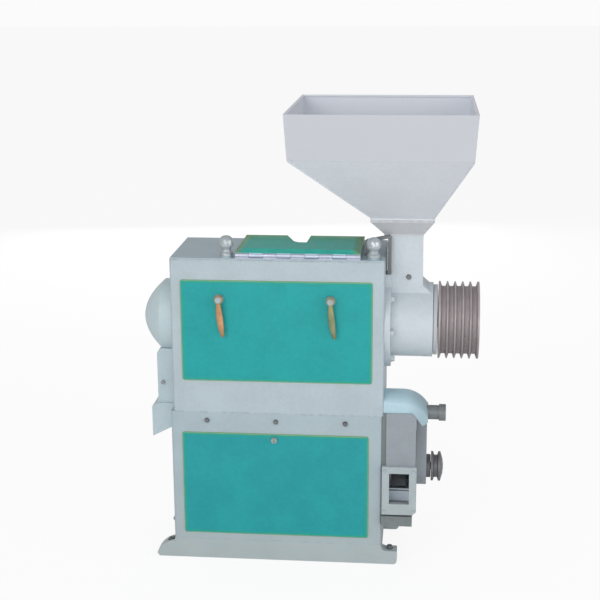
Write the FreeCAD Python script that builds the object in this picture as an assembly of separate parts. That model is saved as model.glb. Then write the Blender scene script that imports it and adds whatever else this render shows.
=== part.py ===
import FreeCAD, Part
import math
import os
from FreeCAD import Vector

# Horizontal emery-roll corn dehuller. All sizes are in millimetres.
# +X runs along the main shaft towards its pulley, +Y points away from the operator, +Z is up.
# The origin is the centre of the anchor bolt pattern, on the floor.

os.makedirs("parts", exist_ok=True)

# Feet
foot_left_reach = 48.0
foot_right_reach = 41.0
foot_rail_width = 30.0
foot_height = 52.0
toe_height = 36.0
toe_fillet = 13.0
left_toe_height = 44.0
left_toe_land = 8.0
left_toe_tip = 9.0
left_toe_chamfer = 6.0
left_toe_bulge = 6.0
right_toe_round = 10.0
toe_depth = 36.0
anchor_left_gap = 12.0
anchor_right_gap = 22.0
anchor_hole_radius = 7.0
anchor_seat_radius = 12.0

# Cabinet and casing
cabinet_length = 534.0
cabinet_height = 348.0
casing_left_step = 7.0
casing_right_step = 3.0
casing_height = 393.0
body_depth = 250.0
wall = 5.0
body_corner = 6.0
flange_width = 24.0
flange_thick = 6.0
top_plate_thick = 4.0
top_plate_inset = 1.5
seam_hole_pitch = 175.0
seam_hole_drop = 22.0
seam_hole_radius = 3.5

# Lift-off panels
upper_panel_length = 476.0
upper_panel_height = 259.5
upper_panel_margin = 25.5
upper_panel_rise = 83.5
lower_panel_length = 474.0
lower_panel_height = 275.0
lower_panel_margin = 27.5
lower_panel_rise = 19.0
panel_thick = 3.0
panel_bevel = 1.5
panel_corner = 7.0
panel_lap = 10.0
panel_rim_depth = 4.4
panel_rim_wall = 3.0
panel_clearance = 1.5

# Quarter-turn latches
latch_pitch = 276.0
latch_drop = 46.0
latch_offset = -2.5
latch_shaft_radius = 5.0
latch_boss_radius = 12.0
latch_boss_height = 9.0
latch_cap_radius = 9.0
latch_cap_height = 4.0
handle_length = 104.0
handle_lean = 15.0
handle_neck = 12.0
handle_neck_drop = 16.0
handle_belly = 17.0
handle_belly_drop = 50.0
handle_tip = 9.0
handle_thick = 9.0
tongue_length = 62.0
tongue_width = 14.0
tongue_thick = 5.0
tongue_gap = 0.7
small_latch_drop = 14.5
small_latch_offset = -1.5
small_latch_radius = 7.5
small_latch_shaft = 2.5
small_latch_height = 8.0
small_latch_slot = 3.0
small_latch_notch = 16.0
small_tongue_length = 20.0
small_tongue_drop = 6.0
small_tongue_thick = 3.6

# Shaft line
shaft_rise = 220.0
shaft_radius = 20.0
shaft_end_gap = 6.0
shaft_nut_gap = 3.0
shaft_chamfer = 1.5
running_fit = 0.05
side_gap = 0.3

# Emery rolls and screens
roll_radius = 80.0
roll_count = 3
roll_chamfer = 4.0
roll_end_gap = 57.0
spacer_length = 8.0
spacer_radius = 52.0
screen_gap = 14.5
screen_thick = 2.0
screen_flange_reach = 15.0
screen_flange_thick = 3.0
screen_end_gap = 6.0
slot_length = 34.0
slot_width = 3.0
slot_columns = 8
slot_rows = 5
slot_margin = 60.0
slot_arc = 120.0
rail_depth = 6.0
rail_bearing = 9.0

# Feed screw and feed housing
screw_hub_radius = 30.0
screw_clearance = 4.0
screw_pitch = 76.0
screw_turns = 1.8
screw_thick = 6.0
screw_root = 2.0
screw_end_gap = 16.2
housing_length = 118.0
housing_radius = 94.0
housing_wall = 10.0
housing_flange_radius = 121.0
housing_flange_thick = 14.0
housing_end_wall = 12.0
housing_spigot_reach = 36.0
shoulder_step = 2.0
shoulder_drop = 40.0
shoulder_run = 26.0
neck_rise = 225.0
neck_length = 77.0
neck_half_depth = 50.0
neck_wall = 8.0
lug_rise = 130.0
lug_reach = 10.0

# Right bearing
collar_radius = 74.0
collar_length = 12.0
collar_chamfer = 2.0
bearing_outer = 34.0
bearing_width = 18.0
bearing_hub_radius = 44.0
gland_radius = 30.0
gland_thick = 1.5

# Main pulley
pulley_radius = 97.5
pulley_gap = 2.0
groove_pitch = 19.0
groove_count = 5
groove_edge = 12.5
groove_top = 16.3
groove_floor = 9.0
groove_depth = 12.0
pulley_rim = 7.0
pulley_web = 14.0
pulley_hub_radius = 38.0
pulley_hub_length = 72.0
pulley_hole_radius = 13.0
pulley_hole_count = 6
shaft_nut_radius = 28.0
shaft_nut_thick = 12.0

# Discharge end
discharge_radius = 93.0
discharge_wall = 8.0
discharge_length = 23.0
carrier_thick = 6.0
carrier_hub_radius = 42.0
carrier_hub_length = 22.0
cap_flange_thick = 8.0
cap_wall = 6.0
cap_depth = 53.0
cap_facets = 14
paddle_clearance = 9.0
paddle_length = 26.0
paddle_gap = 36.0
paddle_blades = 4
paddle_thick = 7.0
paddle_turn = 20.0

# Discharge chute, spout and pressure gate
chute_reach = 52.0
chute_width = 120.0
chute_wall = 4.0
chute_round = 16.0
chute_drop = 75.0
spout_reach = 68.0
spout_width = 134.0
spout_shoulder = 10.0
spout_tip_drop = 90.0
spout_inner_drop = 59.0
gate_pivot_reach = 38.0
gate_pivot_rise = 55.0
gate_shaft_radius = 5.0
gate_shaft_end = 6.0
gate_length = 43.0
gate_slope = 49.0
gate_thick = 4.0
gate_clearance = 1.5
lever_offset = 28.0
lever_hub_radius = 11.0
lever_hub_length = 14.0
lever_length = 92.0
lever_radius = 4.0
weight_radius = 16.0
weight_length = 30.0
weight_chamfer = 2.0
lever_nut_radius = 8.0
lever_nut_thick = 5.0

# Bran hopper inside the cabinet
bran_rim = 20.0
bran_rim_gap = 2.0
bran_sheet = 2.5
bran_outlet_length = 120.0
bran_outlet_width = 90.0
bran_outlet_rise = 98.0
bran_collar = 40.0

# Top cover, its curb and its hinge
cover_inset = 164.0
cover_length = 307.0
cover_rear_gap = 37.0
cover_lift = 14.0
cover_sheet = 2.5
cover_crown = 7.0
cover_bevel_front = 12.0
cover_bevel_side = 20.0
cover_bevel_rear = 58.0
curb_wall = 5.0
curb_inset = 4.0
curb_gap = 1.0
hinge_inset = 6.0
hinge_radius = 5.6
hinge_pin_radius = 2.5
hinge_knuckles = 9
hinge_leaf_thick = 2.0
notch_rear_width = 61.0
notch_floor_width = 21.0
notch_rear_offset = 137.0
notch_floor_offset = 153.0
notch_length = 108.0
plate_notch_length = 83.0
notch_margin = 9.0
notch_depth = 12.0

# Clamp knobs on the top plate
knob_left_gap = 24.0
knob_right_gap = 31.0
knob_inset = 20.0
stud_radius = 6.0
stud_height = 40.0
washer_radius = 15.0
washer_thick = 4.0
knob_neck_radius = 10.5
knob_radius = 16.5
knob_height = 54.0
knob_flute_radius = 4.0
knob_flutes = 6

# Stay bar between the feed housing and the top plate
stay_offset = 60.0
stay_width = 10.0
stay_thick = 9.0
stay_left_gap = 7.0
stay_right_reach = 9.5
stay_low_rise = 40.0
stay_high_rise = 52.0
stay_bend = 5.0

# Hopper, slide gate and throat
hopper_left_reach = 196.0
hopper_right_reach = 96.0
hopper_half_depth = 235.0
hopper_collar_height = 107.0
hopper_slope_height = 165.0
hopper_flare = 7.0
hopper_sheet = 3.0
outlet_left_reach = 32.0
outlet_right_reach = 24.0
outlet_half_depth = 75.0
outlet_collar = 4.0
outlet_flange = 1.5
outlet_flange_thick = 3.0
gate_sheet = 3.4
gate_runner_thick = 4.0
gate_runner_width = 8.0
gate_runner_reach = 60.0
gate_open = 143.0
gate_overhang = 6.0
gate_grip = 26.0
gate_grip_inset = 35.0
throat_height = 40.0
throat_foot = 4.0
throat_left_reach = 19.0
throat_right_reach = 2.0
throat_lip = 2.0
throat_sheet = 4.0

# Blower on the right of the cabinet
blower_y = -20.0
blower_rise = 180.0
blower_gap = 11.0
volute_width = 74.0
volute_sheet = 3.0
volute_front_inset = 3.0
volute_cutoff_gap = 8.0
volute_rear_gap = 20.0
volute_top_gap = 34.0
volute_drop = 85.0
duct_depth = 50.0
window_width = 50.0
window_height = 82.0
window_drop = 62.0
outlet_frame_gap = 1.0
outlet_frame_length = 87.0
outlet_frame_drop = 91.0
outlet_frame_rise = 38.0
outlet_frame_thick = 12.0
outlet_frame_chamfer = 9.0
outlet_bolt_spacing_x = 74.0
outlet_bolt_spacing_z = 108.0
outlet_bolt_radius = 3.0
impeller_radius = 58.0
impeller_width = 40.0
impeller_blades = 8
impeller_plate = 3.0
impeller_hub_radius = 16.0
impeller_gap = 6.0
blower_shaft_radius = 9.0
inlet_box_thick = 27.0
inlet_box_half_depth = 48.0
inlet_box_entry = 28.0
inlet_eye_radius = 34.0
hub_radius = 30.0
hub_length = 11.0
small_pulley_radius = 38.0
small_pulley_width = 24.0
small_pulley_dish = 6.0
small_groove_depth = 9.0

# Suction elbow with its air spigot
elbow_rise = 54.0
elbow_floor_rise = 9.0
elbow_front_round = 16.0
elbow_crest_length = 44.0
elbow_rear_drop = 37.0
elbow_bend_radius = 73.0
elbow_bend_reach = 47.0
elbow_cheek = 2.0
elbow_knee_reach = 73.0
elbow_tip_reach = 98.0
elbow_tip_drop = 33.0
elbow_heel_drop = 23.0
elbow_sheet = 4.0
spigot_offset = 66.5
spigot_drop = 7.0
air_spigot_radius = 18.0
air_spigot_bore = 13.0
air_spigot_length = 36.0
air_cap_radius = 21.0
air_cap_length = 17.0
air_cap_lap = 9.0
saddle_height = 10.0
bracket_height = 26.0
bracket_reach = 78.0
bracket_front_reach = 14.0
bracket_length = 202.0
bracket_thick = 6.0
hanger_thick = 4.0
hanger_return = 22.0

# Places that follow from the sizes above
anchor_x = (anchor_left_gap + cabinet_length + anchor_right_gap) / 2
anchor_y = (body_depth - toe_depth) / 2
cabinet_left_x = anchor_left_gap - anchor_x
cabinet_right_x = cabinet_left_x + cabinet_length
casing_left_x = cabinet_left_x + casing_left_step
casing_right_x = cabinet_right_x + casing_right_step
foot_left_x = cabinet_left_x - foot_left_reach
foot_right_x = cabinet_right_x + foot_right_reach
front_y = -body_depth / 2
rear_y = body_depth / 2
inner_y = rear_y - wall
seam_z = foot_height + cabinet_height
deck_z = seam_z + casing_height
top_z = deck_z + top_plate_thick
shaft_z = seam_z + shaft_rise
upper_panel_x = casing_left_x + upper_panel_margin
upper_panel_z = seam_z + upper_panel_rise
lower_panel_z = foot_height + lower_panel_rise
lower_panel_x = cabinet_left_x + lower_panel_margin
tongue_y = front_y + wall + tongue_gap

screen_inner = roll_radius + screen_gap
screen_outer = screen_inner + screen_thick
screen_left_x = casing_left_x + wall + screen_end_gap
screen_right_x = casing_right_x - wall - screen_end_gap
spigot_radius = screen_inner - side_gap
housing_bore = housing_radius - housing_wall
housing_end_x = casing_right_x + housing_length
screw_radius = housing_bore - screw_clearance
screw_length = screw_pitch * screw_turns + screw_thick
screw_start_x = housing_end_x - housing_end_wall - screw_end_gap - screw_length
first_roll_x = casing_left_x + roll_end_gap
roll_pitch = (screw_start_x - first_roll_x) / roll_count
roll_length = roll_pitch - spacer_length
neck_left_x = casing_right_x + housing_flange_thick
neck_right_x = neck_left_x + neck_length
neck_top_z = shaft_z + neck_rise
pulley_start_x = housing_end_x + collar_length + pulley_gap
pulley_width = groove_pitch * (groove_count - 1) + 2 * groove_edge
nut_start_x = pulley_start_x + pulley_hub_length
shaft_right_end = nut_start_x + shaft_nut_thick + shaft_nut_gap
discharge_end_x = casing_left_x - discharge_length
carrier_x = discharge_end_x - carrier_thick
cap_x = carrier_x - cap_flange_thick
shaft_left_end = carrier_x - carrier_hub_length - shaft_end_gap
paddle_radius = discharge_radius - discharge_wall - paddle_clearance
chute_top_z = shaft_z - chute_drop
chute_left_x = casing_left_x - chute_reach
gate_pivot_x = casing_left_x - gate_pivot_reach
gate_pivot_z = seam_z + gate_pivot_rise
lever_y = chute_width / 2 + lever_offset

cover_left_x = casing_left_x + cover_inset
cover_right_x = cover_left_x + cover_length
cover_rear_y = rear_y - cover_rear_gap
cover_z = top_z + cover_lift
hinge_y = front_y + hinge_inset
hinge_z = cover_z - hinge_radius - side_gap
curb_front_y = hinge_y + hinge_radius + curb_gap
notch_centre_rear_x = cover_left_x + notch_rear_offset
notch_centre_floor_x = cover_left_x + notch_floor_offset
notch_floor_y = cover_rear_y - notch_length
plate_notch_floor_y = rear_y - plate_notch_length
knob_left_x = cover_left_x - knob_left_gap
knob_right_x = cover_right_x + knob_right_gap
knob_y = front_y + knob_inset

throat_left_x = neck_left_x - throat_left_reach
throat_right_x = neck_right_x + throat_right_reach
outlet_left_x = throat_left_x - outlet_left_reach
outlet_right_x = throat_right_x + outlet_right_reach
runner_z = neck_top_z + throat_height
outlet_z = runner_z + gate_runner_thick
hopper_left_x = outlet_left_x - hopper_left_reach
hopper_right_x = outlet_right_x + hopper_right_reach
hopper_fold_z = outlet_z + hopper_slope_height
hopper_top_z = hopper_fold_z + hopper_collar_height

blower_z = foot_height + blower_rise
volute_start_x = cabinet_right_x + blower_gap
volute_end_x = volute_start_x + volute_width
volute_front_y = front_y + volute_front_inset
volute_cutoff = impeller_radius + volute_cutoff_gap
volute_rear = impeller_radius + volute_rear_gap
volute_top = impeller_radius + volute_top_gap
volute_bottom_z = blower_z - volute_drop
window_base_z = blower_z - window_drop
outlet_frame_left_x = cabinet_right_x + outlet_frame_gap
outlet_frame_right_x = outlet_frame_left_x + outlet_frame_length
outlet_frame_bottom_z = blower_z - outlet_frame_drop
outlet_frame_top_z = blower_z + outlet_frame_rise
inlet_box_end_x = volute_end_x + inlet_box_thick
small_pulley_x = inlet_box_end_x + hub_length + 1
blower_shaft_end_x = small_pulley_x + small_pulley_width + small_pulley_dish + 1
elbow_top_z = seam_z + elbow_rise
elbow_floor_z = seam_z + elbow_floor_rise
elbow_outer_x = inlet_box_end_x + elbow_cheek
elbow_rear_y = blower_y + inlet_box_half_depth + elbow_sheet
elbow_knee_x = casing_right_x + elbow_knee_reach
inlet_box_top_z = elbow_floor_z - elbow_tip_drop + inlet_box_entry
spigot_y = blower_y - spigot_offset
spigot_z = elbow_floor_z - spigot_drop
bracket_top_z = volute_bottom_z - saddle_height
bracket_bottom_z = bracket_top_z - bracket_height
bracket_front_y = volute_front_y - bracket_front_reach
bracket_rear_y = bracket_front_y + bracket_length


def box(x0, x1, y0, y1, z0, z1):
    return Part.makeBox(x1 - x0, y1 - y0, z1 - z0, Vector(x0, y0, z0))


def rod_x(radius, x0, x1, y, z):
    return Part.makeCylinder(radius, x1 - x0, Vector(x0, y, z), Vector(1, 0, 0))


def rod_y(radius, y0, y1, x, z):
    return Part.makeCylinder(radius, y1 - y0, Vector(x, y0, z), Vector(0, 1, 0))


def rod_z(radius, z0, z1, x, y):
    return Part.makeCylinder(radius, z1 - z0, Vector(x, y, z0), Vector(0, 0, 1))


def tube_x(outer, inner, x0, x1, y, z):
    return rod_x(outer, x0, x1, y, z).cut(rod_x(inner, x0 - 1, x1 + 1, y, z))


def face_from(points):
    return Part.Face(Part.makePolygon(points + [points[0]]))


def prism_xz(points, y0, y1):
    return face_from([Vector(x, y0, z) for x, z in points]).extrude(Vector(0, y1 - y0, 0))


def prism_yz(points, x0, x1):
    return face_from([Vector(x0, y, z) for y, z in points]).extrude(Vector(x1 - x0, 0, 0))


def prism_xy(points, z0, z1):
    return face_from([Vector(x, y, z0) for x, y in points]).extrude(Vector(0, 0, z1 - z0))


def rectangle(x0, x1, y0, y1, z):
    corners = [Vector(x0, y0, z), Vector(x1, y0, z), Vector(x1, y1, z), Vector(x0, y1, z)]
    return Part.makePolygon(corners + [corners[0]])


def frustum(low, low_z, high, high_z):
    """Ruled solid between two level rectangles, each given as x0, x1, y0, y1."""
    return Part.makeLoft([rectangle(*low, low_z), rectangle(*high, high_z)], True, True)


def grown(rect, margin):
    x0, x1, y0, y1 = rect
    return (x0 - margin, x1 + margin, y0 - margin, y1 + margin)


def turned_x(profile, y, z):
    """Solid turned about a line along X; the profile is a list of x, radius pairs."""
    points = [Vector(x, y, z + radius) for x, radius in profile]
    return face_from(points).revolve(Vector(0, y, z), Vector(1, 0, 0), 360)


def turned_z(profile, x, y):
    """Solid turned about an upright line; the profile is a list of radius, z pairs."""
    points = [Vector(x + radius, y, z) for radius, z in profile]
    return face_from(points).revolve(Vector(x, y, 0), Vector(0, 0, 1), 360)


def upright_edges(shape):
    return [e for e in shape.Edges if abs(e.BoundBox.ZLength - e.Length) < 1e-6]


def hexagon(radius):
    angles = [math.radians(60 * i + 30) for i in range(6)]
    return [(radius * math.cos(a), radius * math.sin(a)) for a in angles]


def hex_head_x(radius, x0, x1, y, z):
    return prism_yz([(y + a, z + b) for a, b in hexagon(radius)], x0, x1)


def ring_of(count, radius, start):
    """Y and Z offsets of a bolt circle about the shaft line, the angle counted from the front."""
    angles = [math.radians(start + 360.0 * i / count) for i in range(count)]
    return [(-radius * math.cos(a), radius * math.sin(a)) for a in angles]


def closed_wire(edges):
    return Part.Wire([e.toShape() for e in edges])


def edges_at(shape, x=None, y=None, z=None):
    """Edges whose bounding box is flat at each of the given coordinates."""
    found = []
    for edge in shape.Edges:
        b = edge.BoundBox
        spans = [(x, b.XMin, b.XMax), (y, b.YMin, b.YMax), (z, b.ZMin, b.ZMax)]
        gaps = [max(abs(low - at), abs(high - at)) for at, low, high in spans if at is not None]
        if max(gaps) < 1e-4:
            found.append(edge)
    return found


def foot_outline():
    """Front view of the feet: a bulging left toe, a level right toe and a seat for the cabinet."""
    y = front_y
    land_x = cabinet_left_x - left_toe_land
    fillet_x = cabinet_right_x + toe_fillet
    fillet_z = toe_height + toe_fillet
    chord = Vector(foot_left_x - land_x, 0, left_toe_tip - left_toe_height)
    outward = Vector(chord.z, 0, -chord.x).normalize() * left_toe_bulge
    tip = Vector(foot_left_x, y, left_toe_tip)
    land = Vector(land_x, y, left_toe_height)
    bulge = land + chord * 0.5 + outward
    hollow = toe_fillet * (1 - math.sqrt(0.5))
    p = [Vector(foot_left_x + left_toe_chamfer, y, 0), tip, land, Vector(cabinet_left_x, y, left_toe_height),
         Vector(cabinet_left_x, y, foot_height), Vector(cabinet_right_x, y, foot_height),
         Vector(cabinet_right_x, y, fillet_z), Vector(fillet_x, y, toe_height),
         Vector(foot_right_x, y, toe_height), Vector(foot_right_x, y, 0)]
    throat_of_fillet = Vector(cabinet_right_x + hollow, y, toe_height + hollow)
    edges = [Part.LineSegment(p[i], p[i + 1]) for i in range(len(p) - 1)]
    edges[1] = Part.Arc(tip, bulge, land)
    edges[6] = Part.Arc(p[6], throat_of_fillet, p[7])
    edges.append(Part.LineSegment(p[-1], p[0]))
    return closed_wire(edges)


def foot_frame():
    """A cast ring under the cabinet, with a toe at each corner for the anchor bolts."""
    frame = Part.Face(foot_outline()).extrude(Vector(0, body_depth, 0))
    frame = frame.makeFillet(right_toe_round, edges_at(frame, x=foot_right_x, z=0))
    for x0, x1 in ((foot_left_x - 1, cabinet_left_x), (cabinet_right_x, foot_right_x + 1)):
        frame = frame.cut(box(x0, x1, front_y + toe_depth, rear_y - toe_depth, -1, foot_height + 1))
    inner = (cabinet_left_x + foot_rail_width, cabinet_right_x - foot_rail_width,
             front_y + foot_rail_width, rear_y - foot_rail_width)
    frame = frame.cut(box(*inner, -1, foot_height + 1))
    for x in (-anchor_x, anchor_x):
        for y in (-anchor_y, anchor_y):
            frame = frame.cut(rod_z(anchor_hole_radius, -1, foot_height, x, y))
            frame = frame.cut(rod_z(anchor_seat_radius, toe_height, foot_height + 1, x, y))
    return frame.removeSplitter()


def body_shell(x0, x1, z0, z1, floor_inset):
    """An upright sheet-metal box with turned-in flanges round its open top and open bottom."""
    outside = (x0, x1, front_y, rear_y)
    shell = box(*outside, z0, z1)
    shell = shell.makeFillet(body_corner, upright_edges(shell))
    shell = shell.cut(box(*grown(outside, -wall), z0 + flange_thick, z1 - flange_thick))
    shell = shell.cut(box(*grown(outside, -floor_inset), z0 - 1, z0 + flange_thick + 1))
    return shell.cut(box(*grown(outside, -flange_width), z1 - flange_thick - 1, z1 + 1))


def front_opening(panel_x, panel_z, length, height):
    return box(panel_x + panel_lap, panel_x + length - panel_lap, front_y - 1, front_y + wall + 1,
               panel_z + panel_lap, panel_z + height - panel_lap)


def lower_cabinet():
    shell = body_shell(cabinet_left_x, cabinet_right_x, foot_height, seam_z, foot_rail_width)
    shell = shell.cut(front_opening(lower_panel_x, lower_panel_z, lower_panel_length, lower_panel_height))
    middle = (cabinet_left_x + cabinet_right_x) / 2
    for x in (middle - seam_hole_pitch, middle, middle + seam_hole_pitch):
        shell = shell.cut(rod_y(seam_hole_radius, front_y - 1, front_y + wall, x, seam_z - seam_hole_drop))
    return shell


def notch_plan(margin, floor_y, end_y):
    """Plan outline of the air notch, widening towards the rear."""
    floor = notch_floor_width / 2 + margin
    rear = notch_rear_width / 2 + margin
    return [(notch_centre_floor_x - floor, floor_y), (notch_centre_floor_x + floor, floor_y),
            (notch_centre_rear_x + rear, end_y), (notch_centre_rear_x - rear, end_y)]


def whole_casing():
    shell = body_shell(casing_left_x, casing_right_x, seam_z, deck_z, flange_width)
    shell = shell.cut(front_opening(upper_panel_x, upper_panel_z, upper_panel_length, upper_panel_height))
    shell = shell.cut(rod_x(spigot_radius + side_gap, casing_left_x - 1, casing_right_x + 1, 0, shaft_z))
    shell = shell.cut(elbow_section(elbow_sheet, casing_right_x - wall - 1, casing_right_x + 1))
    rear = notch_rear_width / 2
    floor = notch_floor_width / 2
    low = top_z - notch_depth
    outline = [(notch_centre_floor_x - floor, low), (notch_centre_floor_x + floor, low),
               (notch_centre_rear_x + rear, deck_z + 1), (notch_centre_rear_x - rear, deck_z + 1)]
    return shell.cut(prism_xz(outline, inner_y - flange_width, rear_y + 1))


def front_sheet_space():
    return box(casing_left_x - 1, casing_right_x + 1, front_y - 1, front_y + wall, seam_z - 1, deck_z + 1)


def upper_casing():
    """The casing's sides, rear and flanges; its front sheet is a node of its own."""
    return whole_casing().cut(front_sheet_space())


def casing_front():
    """The casing's front sheet round the lift-off panel's opening."""
    return whole_casing().common(front_sheet_space())


def cover_opening():
    inset = curb_inset + curb_wall
    return (cover_left_x + inset, cover_right_x - inset, curb_front_y + curb_wall, cover_rear_y - inset)


def top_plate():
    """Deck sheet with the cover opening, the air notch and two welded clamp studs."""
    outside = (casing_left_x, casing_right_x, front_y, rear_y)
    plate = box(*grown(outside, -top_plate_inset), deck_z, top_z)
    plate = plate.cut(box(*cover_opening(), deck_z - 1, top_z + 1))
    plate = plate.cut(prism_xy(notch_plan(0, plate_notch_floor_y, rear_y), deck_z - 1, top_z + 1))
    for x in (knob_left_x, knob_right_x):
        plate = plate.fuse(rod_z(stud_radius, top_z - 1, top_z + stud_height, x, knob_y))
        plate = plate.fuse(rod_z(washer_radius, top_z - 1, top_z + washer_thick, x, knob_y))
    return plate.removeSplitter()


def cover_curb():
    inner = cover_opening()
    ring = box(*grown(inner, curb_wall), top_z, cover_z)
    ring = ring.cut(box(*inner, top_z - 1, cover_z + 1))
    notch = notch_plan(notch_margin / 2, notch_floor_y, cover_rear_y)
    return ring.cut(prism_xy(notch, top_z - 1, cover_z + 1))


def knuckle_spans():
    pitch = cover_length / hinge_knuckles
    return [(cover_left_x + pitch * i + side_gap, cover_left_x + pitch * (i + 1) - side_gap)
            for i in range(hinge_knuckles)]


def hinge_fixed_leaf():
    """Every second knuckle, standing on a strip on the top plate, and the pin through them all."""
    half = hinge_radius / 2
    leaf = box(cover_left_x, cover_right_x, hinge_y - half, curb_front_y, top_z, top_z + hinge_leaf_thick)
    for x0, x1 in knuckle_spans()[0::2]:
        web = box(x0, x1, hinge_y - half, hinge_y + half, top_z, hinge_z)
        leaf = leaf.fuse(web).fuse(rod_x(hinge_radius, x0, x1, hinge_y, hinge_z))
    pin = rod_x(hinge_pin_radius, cover_left_x + side_gap, cover_right_x - side_gap, hinge_y, hinge_z)
    return leaf.fuse(pin).removeSplitter()


def cover_notch(margin):
    plan = notch_plan(margin, notch_floor_y - margin, cover_rear_y)
    return prism_xy(plan, cover_z - 1, cover_z + cover_sheet + cover_crown + 1)


def top_cover():
    """A hipped sheet pressing with the air notch in its rear edge and knuckles under its front edge."""
    rim = (cover_left_x, cover_right_x, hinge_y - hinge_radius / 2, cover_rear_y)
    x0, x1, y0, y1 = rim
    crown = (x0 + cover_bevel_side, x1 - cover_bevel_side, y0 + cover_bevel_front, y1 - cover_bevel_rear)
    rim_top = cover_z + cover_sheet
    outer = frustum(grown(rim, -cover_sheet), rim_top, crown, rim_top + cover_crown)
    inner_top = rim_top + cover_crown - cover_sheet
    inner = frustum(grown(rim, -2 * cover_sheet), cover_z, grown(crown, -cover_sheet), inner_top)
    raised = outer.cut(cover_notch(notch_margin))
    cover = box(*rim, cover_z, rim_top).fuse(raised).cut(inner.cut(cover_notch(2 * notch_margin)))
    cover = cover.cut(cover_notch(0))
    bore = rod_x(hinge_pin_radius + running_fit, x0 - 1, x1 + 1, hinge_y, hinge_z)
    for a, b in knuckle_spans()[1::2]:
        web = box(a, b, hinge_y - hinge_radius / 2, hinge_y + hinge_radius / 2, hinge_z, cover_z)
        cover = cover.fuse(web.fuse(rod_x(hinge_radius, a, b, hinge_y, hinge_z)).cut(bore))
    return cover.removeSplitter()


def clamp_knob(x):
    """A domed hand nut: a fluted skirt, a waist and a dome."""
    base = top_z + washer_thick
    top = top_z + knob_height
    profile = [(0, base), (knob_radius - 2, base), (knob_radius - 2, base + 7), (knob_neck_radius, base + 12),
               (knob_neck_radius, base + 17), (knob_radius, base + 23), (knob_radius, top - 14),
               (knob_radius * 0.87, top - 7), (knob_radius * 0.5, top - 2), (0, top)]
    knob = turned_z(profile, x, knob_y)
    away = knob_radius + knob_flute_radius / 2
    for i in range(knob_flutes):
        a = math.radians(360.0 * i / knob_flutes)
        flute = rod_z(knob_flute_radius, base + 17, top, x + away * math.cos(a), knob_y + away * math.sin(a))
        knob = knob.cut(flute)
    return knob.cut(rod_z(stud_radius + running_fit, base - 1, top_z + stud_height + side_gap, x, knob_y))


def stay_bar():
    """A flat bar bent over the right clamp knob, from the feed flange's lug to the top plate."""
    x0 = cover_right_x + stay_left_gap
    x1 = casing_right_x + stay_right_reach
    t = stay_thick
    b = stay_bend
    low = top_z + stay_low_rise
    high = top_z + stay_high_rise
    foot_z = shaft_z + lug_rise
    outer = [(x0, top_z), (x0, low - b), (x0 + b, low), (x1 - b + t / 2, high), (x1 + t / 2, high - b),
             (x1 + t / 2, foot_z)]
    inner = [(x1 - t / 2, foot_z), (x1 - t / 2, high - t - 1), (x1 - t / 2 - 1, high - t),
             (x0 + t + 1, low - t), (x0 + t, low - t - 1), (x0 + t, top_z)]
    half = stay_width / 2
    return prism_xz(outer + inner, -stay_offset - half, half - stay_offset)


def panel_plate(x0, z0, length, height, hole_places, hole_radius):
    """A flat panel over an opening, with rounded corners and a bevelled border."""
    x1 = x0 + length
    z1 = z0 + height
    plate = box(x0, x1, front_y - panel_thick, front_y, z0, z1)
    corners = [e for e in plate.Edges if abs(e.BoundBox.YLength - panel_thick) < 1e-6]
    plate = plate.makeFillet(panel_corner, corners)
    rim_edges = [e for e in plate.Edges if e.BoundBox.YMax < front_y - panel_thick + 1e-4]
    plate = plate.makeChamfer(panel_bevel, rim_edges)
    for x, z in hole_places:
        plate = plate.cut(rod_y(hole_radius, front_y - panel_thick - 1, front_y + 1, x, z))
    return plate


def panel_rim(x0, z0, length, height):
    """The locating rim behind a panel, which drops into the opening."""
    x1 = x0 + length
    z1 = z0 + height
    inset = panel_lap + panel_clearance
    deep = inset + panel_rim_wall
    rim_back = front_y + panel_rim_depth
    rim = box(x0 + inset, x1 - inset, front_y, rim_back, z0 + inset, z1 - inset)
    return rim.cut(box(x0 + deep, x1 - deep, front_y - 1, rim_back + 1, z0 + deep, z1 - deep))


def latch_places():
    middle = upper_panel_x + upper_panel_length / 2 + latch_offset
    z = upper_panel_z + upper_panel_height - latch_drop
    return [(middle - latch_pitch / 2, z), (middle + latch_pitch / 2, z)]


def access_panel():
    return panel_plate(upper_panel_x, upper_panel_z, upper_panel_length, upper_panel_height,
                       latch_places(), latch_shaft_radius + running_fit)


def access_panel_rim():
    return panel_rim(upper_panel_x, upper_panel_z, upper_panel_length, upper_panel_height)


def small_latch_place():
    middle = lower_panel_x + lower_panel_length / 2
    return (middle + small_latch_offset, lower_panel_z + lower_panel_height - small_latch_drop)


def lower_panel():
    """The lower panel, its locating rim cut away behind the small latch."""
    x, z = small_latch_place()
    half = small_latch_notch / 2
    size = (lower_panel_x, lower_panel_z, lower_panel_length, lower_panel_height)
    rim = panel_rim(*size).cut(box(x - half, x + half, front_y - 1, inner_y, z - half, z + half))
    return panel_plate(*size, [(x, z)], small_latch_shaft + running_fit).fuse(rim).removeSplitter()


def tongue(x, z, side, length, thick):
    """The latch's tongue behind the panel, lying level while the latch is open."""
    half = tongue_width / 2
    end = x + side * length
    bar = box(min(x, end), max(x, end), tongue_y, tongue_y + thick, z - half, z + half)
    return bar.fuse(rod_y(half, tongue_y, tongue_y + thick, x, z)).removeSplitter()


def latch_spindle(x, z):
    """Boss in front of the panel, the shaft through it and the round cap over the lever's eye."""
    face_y = front_y - panel_thick
    eye_y = face_y - latch_boss_height
    cap_y = eye_y - handle_thick - latch_cap_height
    boss = rod_y(latch_boss_radius, eye_y, face_y, x, z)
    shaft = rod_y(latch_shaft_radius, eye_y - handle_thick, tongue_y, x, z)
    cap = rod_y(latch_cap_radius, cap_y, eye_y - handle_thick, x, z)
    cap = cap.makeChamfer(latch_cap_height / 2, edges_at(cap, y=cap_y))
    return boss.fuse(shaft).fuse(cap).removeSplitter()


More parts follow.
